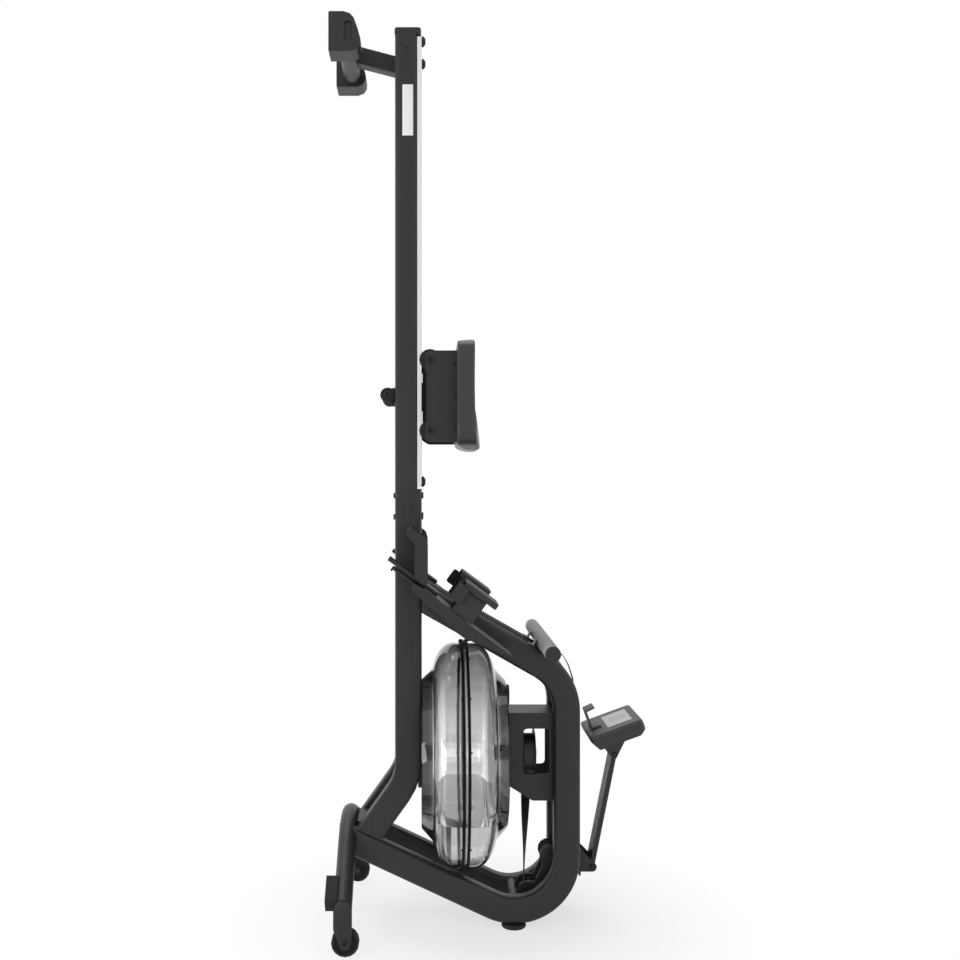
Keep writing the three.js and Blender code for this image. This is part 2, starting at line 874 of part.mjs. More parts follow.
// Rear feet: end caps with a flat side for the floor and a grip slot in the outer face
const rearFootShares = [
  [0, -1], [0, 1], [0.46, 1], [0.67, 0.9], [0.79, 0.68], [0.91, 0.16], [1, -0.36], [0.99, -0.64],
  [0.9, -0.87], [0.7, -1],
];
for (const [where, side] of Object.entries(SIDES)) {
  const middle = rearFootTopZ - rearFootHalfHeight;
  const points = rearFootShares.map(([x, z]) => [x * rearFootDepth, middle + z * rearFootHalfHeight]);
  const cap = prism(outline(points, rearFootCorner), 'y', side * rearFootInner, side * rearFootOuter);
  const bore = rod(
    'y',
    crossbarRadius + seatGap,
    [crossbarX, crossbarZ],
    side * (rearFootInner - overrun),
    side * (rearFootOuter - rearFootWall),
    20,
  );
  const slot = prism(
    block(
      rearSlotWidth,
      rearSlotHeight,
      rearSlotWidth / 3,
      crossbarX + rearSlotForward,
      crossbarZ + rearSlotRaise,
    ),
    'y',
    side * (rearFootOuter - rearSlotDepth),
    side * (rearFootOuter + overrun),
  );
  machine.add(piece(`rear_foot_${where}`, cut(cap, bore, slot), rubber));
}

// Front stabilizer: the bow, its wheel plates and the bolts that the wheels turn on
{
  const ends = Object.values(SIDES).map((side) => {
    const points = [
      [bowX - bowRadius, bowEndZ],
      [bowX - bowRadius, bowEndZ - wheelPlateStraight],
      [wheelX - wheelTongue, wheelRadius],
      [wheelX - wheelTongue / 2, wheelRadius - wheelTongue],
      [wheelX + wheelTongue / 2, wheelRadius - wheelTongue],
      [wheelX + wheelTongue, wheelRadius],
      [bowX + bowRadius, bowEndZ - wheelPlateStraight],
      [bowX + bowRadius, bowEndZ],
      [bowX + bowRadius * plateShoulderShare, bowEndZ + bowRadius],
      [bowX - bowRadius * plateShoulderShare, bowEndZ + bowRadius],
    ];
    const plate = prism(
      outline(points, bowRadius / 2),
      'y',
      side * wheelPlateY,
      side * (wheelPlateY + wheelPlate),
    );
    const inner = wheelPlateY - seatGap - wheelWidth - seatGap - wheelNut;
    const bolt = rod(
      'y',
      wheelBolt,
      [wheelX, wheelRadius],
      side * inner,
      side * (wheelPlateY + wheelPlate),
      boltSides,
    );
    const nut = rod('y', wheelBoltHead, [wheelX, wheelRadius], side * inner, side * (inner + wheelNut), 6);
    const head = rod(
      'y',
      wheelBoltHead,
      [wheelX, wheelRadius],
      side * (wheelPlateY + wheelPlate - weldReach),
      side * (wheelPlateY + wheelPlate + wheelBoltHeadHeight),
      boltSides,
    );
    return join(plate, bolt, nut, head);
  });
  const inward = box(
    [-cutterSpan, cutterSpan],
    [-wheelPlateY - weldReach, wheelPlateY + weldReach],
    [-cutterSpan, cutterSpan],
  );
  const bore = sweep(circle(bowRadius - bowWall), bowStations(), bowBoreSegments);
  const plug = box([-cutterSpan, cutterSpan], [-bowPlugY, bowPlugY], [-cutterSpan, cutterSpan]);
  const tube = cut(
    bowOuter.intersect(inward),
    bore.intersect(plug),
    rod('x', bowVent, [0, bowCrestZ], bowX, bowX + bowRadius + overrun, 8),
  );
  machine.add(piece(
    'front_stabilizer',
    join(tube, ...ends),
    paint,
  ));
}

for (const [where, side] of Object.entries(SIDES)) {
  const outer = wheelPlateY - seatGap;
  const inner = outer - wheelWidth;
  const profile = [
    [wheelBolt + axleFit, inner],
    [wheelHub, inner],
    [wheelHub, inner + wheelDish],
    [wheelRadius - wheelRim, inner + wheelDish],
    [wheelRadius - wheelRim, inner],
    [wheelRadius, inner],
    [wheelRadius, outer],
    [wheelRadius - wheelRim, outer],
    [wheelRadius - wheelRim, outer - wheelDish],
    [wheelHub, outer - wheelDish],
    [wheelHub, outer],
    [wheelBolt + axleFit, outer],
  ].map(([r, y]) => [r, side * y]);
  machine.add(piece(
    `transport_wheel_${where}`,
    lathe([...profile, profile[0]], 'y', [wheelX, wheelRadius], 16),
    rubber,
  ));
}

// Floor pads under the bow's legs, for use: a flat sole and a cradle round the tube
for (const [where, side] of Object.entries(SIDES)) {
  const middle = (padInner + padOuter) / 2;
  const middleZ = bowTangentZ - (middle - bowTangentY) * Math.tan(bowSlope);
  const half = (padOuter - padInner) / 2 / Math.cos(bowSlope);
  const lean = side * bowSlope;
  const along = [Math.cos(lean), -Math.sin(lean)];
  const across = [Math.sin(lean), Math.cos(lean)];
  const corners = [[-1, -1], [1, -1], [1, 1], [-1, 1]].map(([a, b]) => [
    side * middle + a * half * along[0] + (b * padWidth * across[0]) / 2,
    middleZ + a * half * along[1] + (b * padWidth * across[1]) / 2,
  ]);
  const pad = prism(outline(corners, padCorner), 'x', 0, bowX - bowRadius + padWrap);
  machine.add(piece(`front_pad_${where}`, cut(pad, bowClear), rubber));
}

// Saddle that bolts the bow's crest between the loops
{
  const half = frameInner - seatGap;
  const front = bowX + bowRadius + seatGap;
  const plate = box([bowX, front + saddleDepth], [-half, half], [bowCrestZ - saddleHeight, bowCrestZ]);
  const hollow = box(
    [front + saddleWall, front + saddleDepth + overrun],
    [saddleWall - half, half - saddleWall],
    [bowCrestZ - saddleHeight - overrun, bowCrestZ - saddleWall],
  );
  const bolts = [-1, 1].map((way) => rod(
    'x',
    saddleBoltRadius,
    [way * saddleBoltSpread, bowCrestZ - saddleHeight / 2],
    front,
    front + saddleWall + saddleBoltHead,
    boltSides,
  ));
  machine.add(piece(
    'front_saddle',
    join(
      cut(
        plate,
        hollow,
        bowClear,
        box(
          [bowX - overrun, front - seatGap],
          [-half - overrun, half + overrun],
          [bowCrestZ - saddleHeight - overrun, bowCrestZ + overrun],
        ),
      ),
      ...bolts,
    ),
    blackPlastic,
  ));
}

// Storage feet under the lowest point of the loops
for (const [where, side] of Object.entries(SIDES)) {
  const chamfer = storageFootHeight / 4;
  const profile = [
    [0, 0],
    [storageFootRadius - chamfer, 0],
    [storageFootRadius, chamfer],
    [storageFootRadius, storageFootHeight - chamfer],
    [storageFootRadius - chamfer, storageFootHeight],
    [0, storageFootHeight],
  ];
  machine.add(piece(`storage_foot_${where}`, lathe(profile, 'z', [bendX, side * frameSpread], 20), rubber));
}

// Tank mount plate between the posts
{
  const half = frameInner - seatGap;
  const plate = outline(
    [
      [-half, mountPlateBottom],
      [half, mountPlateBottom],
      [half, mountPlateBottom + mountPlateHeight],
      [-half, mountPlateBottom + mountPlateHeight],
    ],
    mountPlateCorner,
  );
  const bore = rod('x', plugHole, [0, tankZ], postFaceX - mountPlate - overrun, postFaceX + overrun, 24);
  machine.add(piece(
    'tank_mount_plate',
    cut(prism(plate, 'x', postFaceX - mountPlate, postFaceX), bore),
    paint,
  ));
}

// Tank shells: a flat rim, an elliptical shoulder, and a conical hub. Heights run from the middle plane.
function shellProfile(inset, flat) {
  const shoulder = Array.from({ length: shoulderSteps + 1 }, (_, i) => {
    const angle = ((Math.PI / 2) * i) / shoulderSteps;
    return [
      tankRadius - tankShoulderReach + (tankShoulderReach - inset) * Math.cos(angle),
      tankRimHeight + (tankShoulder - inset) * Math.sin(angle),
    ];
  }).filter(([r]) => r > tankHubFoot - inset);
  const foot = tankRimHeight + tankShoulder - inset;
  return [
    [tankRadius - inset, flat],
    ...shoulder,
    [tankHubFoot - inset, foot],
    [tankHubRadius - inset, tankHubHeight - inset],
  ];
}

function tankShell(way) {
  const flangeLow = seatGap / 2;
  const flangeHigh = flangeLow + tankFlangeThick;
  const outer = shellProfile(0, flangeHigh);
  const inner = shellProfile(tankWall, flangeLow).reverse();
  const lid = tankHubHeight - tankWall;
  const bearing = [
    [bearingRadius, lid],
    [bearingRadius, lid - bearingDepth],
    [shaftRadius + shaftFit, lid - bearingDepth],
  ];
  const flange = [[tankRadius + tankFlange, flangeLow], [tankRadius + tankFlange, flangeHigh]];
  const centre = way < 0
    ? [[shaftRadius + shaftFit, lid - seatGap], [0, lid - seatGap], [0, tankHubHeight]]
    : [
      [shaftRadius + shaftFit, driveLeft - seatGap - tankX],
      [tankBossRadius, driveLeft - seatGap - tankX],
      [tankBossRadius, tankHubHeight],
    ];
  const closed = [
    ...bearing,
    ...centre,
    ...outer.slice().reverse(),
    ...flange.slice().reverse(),
    ...inner.slice().reverse(),
  ];
  const round = closed.map(([r, h]) => [r, way * h]);
  return lathe([...round, round[0]], 'x', [0, tankZ], tankSides).translate([tankX, 0, 0]);
}
machine.add(piece('tank_lower_shell', tankShell(-1), smokedClear));
{
  const face = tankX + tankHubHeight;
  const hole = rod('x', plugHole, [0, tankZ + plugFromAxis], face - tankWall - overrun, face + overrun, 20);
  machine.add(piece('tank_upper_shell', cut(tankShell(1), hole), smokedClear));
  const stopper = rod(
    'x',
    plugHole - seatGap,
    [0, tankZ + plugFromAxis],
    face - tankWall,
    face + plugHeight / 2,
    20,
  );
  const head = rod('x', plugRadius, [0, tankZ + plugFromAxis], face + seatGap, face + plugHeight, 20);
  machine.add(piece('tank_plug', join(stopper, head), blackPlastic));
}

// Clamp rings on both sides of the tank's flange, with their screw heads
for (const [where, way] of [['lower', -1], ['upper', 1]]) {
  const low = seatGap / 2 + tankFlangeThick + seatGap;
  const profile = [
    [tankRadius + seatGap, low],
    [ringOuter, low],
    [ringOuter, low + ringThick],
    [tankRadius + seatGap, low + ringThick],
  ].map(([r, h]) => [r, way * h]);
  const ring = lathe([...profile, profile[0]], 'x', [0, tankZ], tankSides).translate([tankX, 0, 0]);
  const screws = Array.from({ length: ringScrews }, (_, i) => {
    const angle = (2 * Math.PI * i) / ringScrews;
    const reach = ringOuter - ringScrewInset;
    const start = tankX + way * (low + ringThick - weldReach);
    const end = tankX + way * (low + ringThick + ringScrewHeight);
    return rod(
      'x',
      ringScrewRadius,
      [reach * Math.sin(angle), tankZ + reach * Math.cos(angle)],
      start,
      end,
      6,
    );
  });
  machine.add(piece(`tank_ring_${where}`, join(ring, ...screws), blackPlastic));
}

// Impeller: shaft, hub, curved blades, and a ring that ties the blades together
{
  const low = tankX - tankHubHeight + tankWall + seatGap + seatGap;
  const high = reelX + strapWidth / 2 + reelSlack + reelFlangeThick + shaftTail;
  const shaft = rod('x', shaftRadius, [0, tankZ], low, high, 12);
  const hub = rod(
    'x',
    impellerHub,
    [0, tankZ],
    tankX - impellerHubLength / 2,
    tankX + impellerHubLength / 2,
    18,
  );
  const ringProfile = [
    [bladeRingRadius, -bladeRingThick / 2],
    [bladeRingRadius + bladeRingWidth, -bladeRingThick / 2],
    [bladeRingRadius + bladeRingWidth, bladeRingThick / 2],
    [bladeRingRadius, bladeRingThick / 2],
  ];
  const ring = lathe([...ringProfile, ringProfile[0]], 'x', [0, tankZ], 18).translate([tankX, 0, 0]);
  const blades = Array.from({ length: impellerBlades }, (_, i) => {
    const blade = new THREE.Shape();
    const root = impellerHub - bladeRoot;
    blade.moveTo(root, -bladeThick / 2);
    blade.quadraticCurveTo(bladeTip / 2, bladeSag - bladeThick / 2, bladeTip, -bladeThick / 2);
    blade.lineTo(bladeTip, bladeThick / 2);
    blade.quadraticCurveTo(bladeTip / 2, bladeSag + bladeThick / 2, root, bladeThick / 2);
    const geometry = new THREE.ExtrudeGeometry(
      blade,
      { depth: bladeHeight, bevelEnabled: false, curveSegments: 4 },
    );
    geometry.rotateZ((2 * Math.PI * i) / impellerBlades).translate(0, 0, -bladeHeight / 2);
    return solidOf(turned(geometry, 'x').translate(tankX, 0, tankZ));
  });
  machine.add(piece('impeller', join(shaft, hub, ring, ...blades), steel));
}

// Drive bracket: two cheeks with a window, a top plate and a web that the tank's boss meets
{
  const right = frontTubeX - halfTube + driveLap;
  const half = frameInner - seatGap;
  const cheek = new THREE.Shape();
  cheek.moveTo(driveLeft, driveTop);
  cheek.lineTo(driveLeft, driveBottom + driveCurveZ);
  cheek.quadraticCurveTo(
    driveLeft + driveCurveX / 2,
    driveBottom + driveCurveZ / 2,
    driveLeft + driveCurveX,
    driveBottom,
  );
  cheek.lineTo(right, driveBottom);
  cheek.lineTo(right, driveTop);
  const windowWidth = driveWindowRight - driveWindowLeft;
  const windowHeight = driveWindowTop - driveWindowBottom;
  cheek.holes.push(block(
    windowWidth,
    windowHeight,
    driveWindowCorner,
    driveWindowLeft + windowWidth / 2,
    driveWindowBottom + windowHeight / 2,
  ));
  const cheeks = Object.values(SIDES).map((side) => prism(
    cheek,
    'y',
    side * (half - drivePlate),
    side * half,
  ));
  const top = box([driveLeft, right], [-half, half], [driveTop - drivePlate, driveTop]);
  const web = box([driveLeft, driveLeft + drivePlate], [-half, half], [driveBottom + driveCurveZ, driveTop]);
  const bore = rod(
    'x',
    driveBoreRadius,
    [0, tankZ],
    driveLeft - overrun,
    driveLeft + overrun + drivePlate,
    24,
  );
  machine.add(piece('drive_bracket', cut(join(...cheeks, top, web), bore), paint));
}

// Strap reel on the shaft's one-way clutch
{
  const half = strapWidth / 2 + reelSlack;
  const profile = [
    [shaftRadius + shaftFit, -half - reelFlangeThick],
    [reelFlange, -half - reelFlangeThick],
    [reelFlange, -half],
    [reelDrum, -half],
    [reelDrum, half],
    [reelFlange, half],
    [reelFlange, half + reelFlangeThick],
    [shaftRadius + shaftFit, half + reelFlangeThick],
  ];
  machine.add(piece(
    'strap_reel',
    lathe([...profile, profile[0]], 'x', [0, tankZ], 20).translate([reelX, 0, 0]),
    blackPlastic,
  ));
}

// Pulleys that the strap runs over
function pulley(radius, flange, half, bore, x, z) {
  const groove = strapWidth / 2 + reelSlack;
  const profile = [
    [bore, -half],
    [bore + idlerHub / 2, -half],
    [bore + idlerHub / 2, -groove - idlerFlangeThick],
    [radius + flange, -groove - idlerFlangeThick],
    [radius + flange, -groove],
    [radius, -groove],
    [radius, groove],
    [radius + flange, groove],
    [radius + flange, groove + idlerFlangeThick],
    [bore + idlerHub / 2, groove + idlerFlangeThick],
    [bore + idlerHub / 2, half],
    [bore, half],
  ];
  return lathe([...profile, profile[0]], 'y', [x, z], 16);
}
machine.add(piece(
  'idler_lower',
  pulley(
    lowerIdlerRadius,
    idlerFlange,
    idlerHalf - seatGap,
    idlerPin + axleFit,
    lowerIdlerX,
    lowerIdlerZ,
  ),
  blackPlastic,
));
machine.add(piece(
  'idler_upper',
  pulley(
    upperIdlerRadius,
    idlerFlange,
    idlerHalf - seatGap,
    idlerPin + axleFit,
    upperIdlerX,
    upperIdlerZ,
  ),
  blackPlastic,
));
machine.add(piece(
  'guide_roller',
  pulley(guideRadius, guideFlange, guideHalf, guideAxle + axleFit, guideX, guideZ),
  blackPlastic,
));
{
  const half = frameInner - seatGap;
  const axle = rod('y', guideAxle, [guideX, guideZ], -half, half, 16);
  const collars = [-1, 1].map((way) => rod(
    'y',
    guideAxle + idlerHub / 2,
    [guideX, guideZ],
    way * (guideHalf + seatGap),
    way * half,
    16,
  ));
  machine.add(piece('guide_roller_axle', join(axle, ...collars), steel));
}

// Idler bracket: a cross tube between the loops and two bent plates with the idlers' pins
{
  const half = frameInner - seatGap;
  const tube = rod('y', idlerCrossRadius, [idlerCrossX, idlerCrossZ], -half, half, 16);
  const bore = rod(
    'y',
    idlerCrossRadius - idlerCrossWall,
    [idlerCrossX, idlerCrossZ],
    -half - overrun,
    half + overrun,
    8,
  );
  const plate = new THREE.Shape();
  const lobe = (x, z, radius, from, to) => plate.absarc(x, z, radius, from, to, true);
  plate.moveTo(idlerCrossX, idlerCrossZ - idlerWaist);
  plate.lineTo(idlerCrossX - idlerWaist, idlerCrossZ);
  lobe(lowerIdlerX - idlerLobe / 2, lowerIdlerZ + seatGap, idlerLobe, Math.PI, Math.PI / 2);
  plate.lineTo(lowerIdlerX + idlerLobe / 2, lowerIdlerZ + idlerLobe);
  plate.lineTo(upperIdlerX - idlerNeck, upperIdlerZ - idlerLobe - idlerPin);
  lobe(upperIdlerX, upperIdlerZ, idlerUpperLobe, idlerNotch, 0);
  plate.lineTo(upperIdlerX + idlerWaist, upperIdlerZ - idlerUpperLobe);
  plate.lineTo(upperIdlerX - idlerWaist, lowerIdlerZ - idlerLobe / 2);
  plate.closePath();
  const plates = [-1, 1].map((way) => prism(plate, 'y', way * idlerHalf, way * (idlerHalf + idlerPlate), 4));
  const pins = [[lowerIdlerX, lowerIdlerZ], [upperIdlerX, upperIdlerZ]].map((centre) => rod(
    'y',
    idlerPin,
    centre,
    -idlerHalf - idlerPlate - idlerPinHead,
    idlerHalf + idlerPlate + idlerPinHead,
    8,
  ));
  machine.add(piece('idler_bracket', join(cut(tube, bore), ...plates, ...pins), paint));
}

// Strap: from the reel, twisted a quarter turn, round both idlers, over the guide roller and to the handle
const strapOffset = seatGap + strapThick / 2;
const tongueAngle = Math.atan2(slackRoute.at(-1)[1] - handleZ, slackRoute.at(-1)[0] - handleX);
{
  const sideways = new THREE.Vector3(0, -1, 0);
  const pulleys = [
    { centre: [lowerIdlerX, lowerIdlerZ], radius: lowerIdlerRadius + strapOffset, from: Math.PI },
    { centre: [upperIdlerX, upperIdlerZ], radius: upperIdlerRadius + strapOffset },
    { centre: [guideX, guideZ], radius: guideRadius + strapOffset, to: 2 * Math.PI },
  ];
  // Neighbouring pulleys turn the same way, so the strap between them touches both on the right
  pulleys.slice(0, -1).forEach((pulley, i) => {
    const next = pulleys[i + 1];
    const [dx, dz] = [next.centre[0] - pulley.centre[0], next.centre[1] - pulley.centre[1]];
    const touch = Math.atan2(dz, dx) - Math.acos((pulley.radius - next.radius) / Math.hypot(dx, dz));
    pulley.to = touch + 2 * Math.PI;
    next.from = touch + 2 * Math.PI;
  });
  const wraps = pulleys.flatMap(({ centre: [x, z], radius, from, to }) => {
    const count = Math.max(1, Math.ceil((to - from) / arcStep));
    return Array.from({ length: count + 1 }, (_, i) => {
      const angle = from + ((to - from) * i) / count;
      return {
        point: new THREE.Vector3(x + radius * Math.cos(angle), 0, z + radius * Math.sin(angle)),
        heading: new THREE.Vector3(-Math.sin(angle), 0, Math.cos(angle)),
        across: sideways,
      };
    });
  });
  const drumRadius = reelDrum + strapOffset;
  const drop = tankZ - lowerIdlerZ - twistClear;
  const leave = Math.asin(drumRadius / drop);
  const start = new THREE.Vector3(reelX, drumRadius * Math.cos(leave), tankZ - drumRadius * Math.sin(leave));
  const level = wraps[0].point.clone().add(new THREE.Vector3(0, 0, twistClear));
  const heading = level.clone().sub(start).normalize();
  const twist = Array.from({ length: twistSteps + 1 }, (_, i) => {
    const angle = (Math.PI / 2) * THREE.MathUtils.smoothstep(i / twistSteps, 0, 1);
    const across = new THREE.Vector3(Math.cos(angle), -Math.sin(angle), 0);
    across.addScaledVector(heading, -across.dot(heading)).normalize();
    return { point: start.clone().lerp(level, i / twistSteps), heading, across };
  });
  const tail = new THREE.Vector3(
    handleX + strapTongue * Math.cos(tongueAngle),
    0,
    handleZ + strapTongue * Math.sin(tongueAngle),
  );
  const slackPoints = [wraps.at(-1).point, ...slackRoute.map(([x, z]) => new THREE.Vector3(x, 0, z)), tail];
  const slackCurve = new THREE.CatmullRomCurve3(slackPoints, false, 'centripetal');
  const slack = Array.from({ length: slackSteps }, (_, i) => ({
    point: slackCurve.getPointAt((i + 1) / slackSteps),
    heading: slackCurve.getTangentAt((i + 1) / slackSteps),
    across: sideways,
  }));
  slack.at(-1).heading = new THREE.Vector3(-Math.cos(tongueAngle), 0, -Math.sin(tongueAngle));
  machine.add(piece('strap', sweep(block(strapWidth, strapThick), [...twist, ...wraps, ...slack]), webbing));
}

// Handle: a core bar with end caps and a tongue for the strap, under one long foam grip
{
  const reachOut = (from, to, half, thick) => box([from, to], [-half, half], [-thick / 2, thick / 2])
    .rotate([0, -THREE.MathUtils.radToDeg(tongueAngle), 0])
    .translate([handleX, 0, handleZ]);
  const bar = rod('y', handleCore, [handleX, handleZ], -handleHalf, handleHalf, 16);
  const caps = [-1, 1].map((way) => rod(
    'y',
    handleRadius,
    [handleX, handleZ],
    way * (handleHalf - handleCap),
    way * handleHalf,
    20,
  ));
  const tongue = reachOut(0, strapTongue - seatGap, tongueHalfWidth, tongueThick);
  machine.add(piece('handle_core', join(bar, ...caps, tongue), blackPlastic));
  const end = handleHalf - handleCap - seatGap;
  const profile = [
    [handleCore + seatGap, -end],
    [handleRadius, -end],
    [handleRadius, end],
    [handleCore + seatGap, end],
  ];
  const tube = lathe([...profile, profile[0]], 'y', [handleX, handleZ], 20);
  const slot = reachOut(0, strapTongue, tongueHalfWidth + seatGap, tongueThick + 2 * seatGap);
  machine.add(piece('handle_grip', cut(tube, slot), foam));
}

// Seat pad: a dished top with a raised front edge, drawn in at the corners. Shares of its thickness and
// length
const seatSideShares = [
  [0, 0.98], [0, 0.03], [0.35, 0], [0.65, -0.012], [1.34, -0.012], [1.24, 0.1], [0.98, 0.36],
  [0.96, 0.6], [0.98, 1],
];
const seatSideCorners = [0.3, 0.5, 1, 0.3, 0.7, 3, 6, 6, 0.4]; // of the nose's rounding
const seatCrownShares = [[-1, 0], [1, 0], [1, 1.05], [0.42, 1.4], [-0.42, 1.4], [-1, 1.05]];
const seatPlanShares = [[-1, 1], [1, 1], [1, 0.057], [0.45, -0.028], [-0.45, -0.028], [-1, 0.057]];
{
  const length = seatPadHigh - seatPadLow;
  const side = seatSideShares.map(([x, z]) => [seatPadBottom + x * seatPadThick, seatPadLow + z * length]);
  const plan = seatPlanShares.map(([y, z]) => [y * seatPadHalf, seatPadLow + z * length]);
  const corners = seatSideCorners.map((share) => share * seatPadNose);
  const body = prism(outline(side, corners), 'y', -seatPadHalf, seatPadHalf, 4);
  const crown = seatCrownShares.map(([y, x]) => [seatPadBottom + x * seatPadThick, y * seatPadHalf]);
  const rise = prism(
    outline(crown, [0, 0, 1, 3, 3, 1].map((share) => share * seatPadNose)),
    'z',
    seatPadLow - length,
    seatPadHigh + length,
    3,
  );
  const trim = prism(
    outline(plan, 3 * seatPadNose),
    'x',
    seatPadBottom - overrun,
    seatPadBottom + 2 * seatPadThick,
    5,
  );
  machine.add(piece('seat_pad', body.intersect(trim).intersect(rise), vinyl));
}

// Seat carriage: a folded plate whose cheeks carry the rollers, and hangers down between the rails
{
  const outer = carriageInner + carriagePlate;
  const cheekOutline = outline([
    [carriageTop, carriageLow], [carriageTop, carriageHigh], [carriageBottom, carriageHigh],
    [carriageBottom, carriageLow],
  ], [0, 0, carriageCorner, carriageCorner]);
  const cheeks = Object.values(SIDES).map((side) => prism(
    cheekOutline,
    'y',
    side * carriageInner,
    side * outer,
  ));
  const deck = box([carriageTop - carriagePlate, carriageTop], [-outer, outer], [carriageLow, carriageHigh]);
  const hangerOutline = outline([
    [carriageTop - weldReach, lowRollerZ - hangerWidth],
    [carriageTop - weldReach, lowRollerZ + hangerWidth],
    [lowRollerX - lowRollerRadius / 2, lowRollerZ + hangerWidth / 3],
    [lowRollerX - lowRollerRadius / 2, lowRollerZ - hangerWidth / 3],
  ], [0, 0, carriageCorner, carriageCorner]);
  const hangers = Object.values(SIDES).map((side) => prism(
    hangerOutline,
    'y',
    side * hangerInner,
    side * (hangerInner + hangerPlate),
  ));
  const axles = [topRollerLow, topRollerHigh].flatMap((z) => [
    rod('y', axleRadius, [topRollerX, z], -outer, outer, axleSides),
    ...[-1, 1].map((way) => rod(
      'y',
      axleHead,
      [topRollerX, z],
      way * (outer - weldReach),
      way * (outer + axleHeadHeight),
      axleSides,
    )),
    ...[-1, 1].map((way) => rod(
      'y',
      axleHead,
      [topRollerX, z],
      way * hangerInner,
      way * (topRollerInner - seatGap),
      axleSides,
    )),
  ]);
  const lowAxles = [-1, 1].flatMap((way) => [
    rod(
      'y',
      axleRadius,
      [lowRollerX, lowRollerZ],
      way * hangerInner,
      way * (lowRollerOuter + seatGap + axleHeadHeight),
      axleSides,
    ),
    rod(
      'y',
      axleHead,
      [lowRollerX, lowRollerZ],
      way * (lowRollerOuter + seatGap),
      way * (lowRollerOuter + seatGap + axleHeadHeight),
      axleSides,
    ),
    rod(
      'y',
      axleHead,
      [lowRollerX, lowRollerZ],
      way * hangerInner,
      way * (lowRollerInner - seatGap),
      axleSides,
    ),
  ]);
  machine.add(piece('seat_carriage', join(deck, ...cheeks, ...hangers, ...axles, ...lowAxles), blackPlastic));
}

for (const [where, side] of Object.entries(SIDES)) {
  for (const [place, z] of [['low', topRollerLow], ['high', topRollerHigh]]) {
    const profile = [
      [axleRadius + axleFit, topRollerInner],
      [topRollerRadius, topRollerInner],
      [topRollerRadius, topRollerStep],
      [topRollerFlange, topRollerStep],
      [topRollerFlange, topRollerOuter],
      [axleRadius + axleFit, topRollerOuter],
    ].map(([r, y]) => [r, side * y]);
    machine.add(piece(
      `seat_roller_${place}_${where}`,
      lathe([...profile, profile[0]], 'y', [topRollerX, z], 16),
      rubber,
    ));
  }
  const profile = [
    [axleRadius + axleFit, lowRollerInner],
    [lowRollerRadius, lowRollerInner],
    [lowRollerRadius, lowRollerOuter],
    [axleRadius + axleFit, lowRollerOuter],
  ].map(([r, y]) => [r, side * y]);
  machine.add(piece(
    `seat_lower_roller_${where}`,
    lathe([...profile, profile[0]], 'y', [lowRollerX, lowRollerZ], 16),
    rubber,
  ));
}

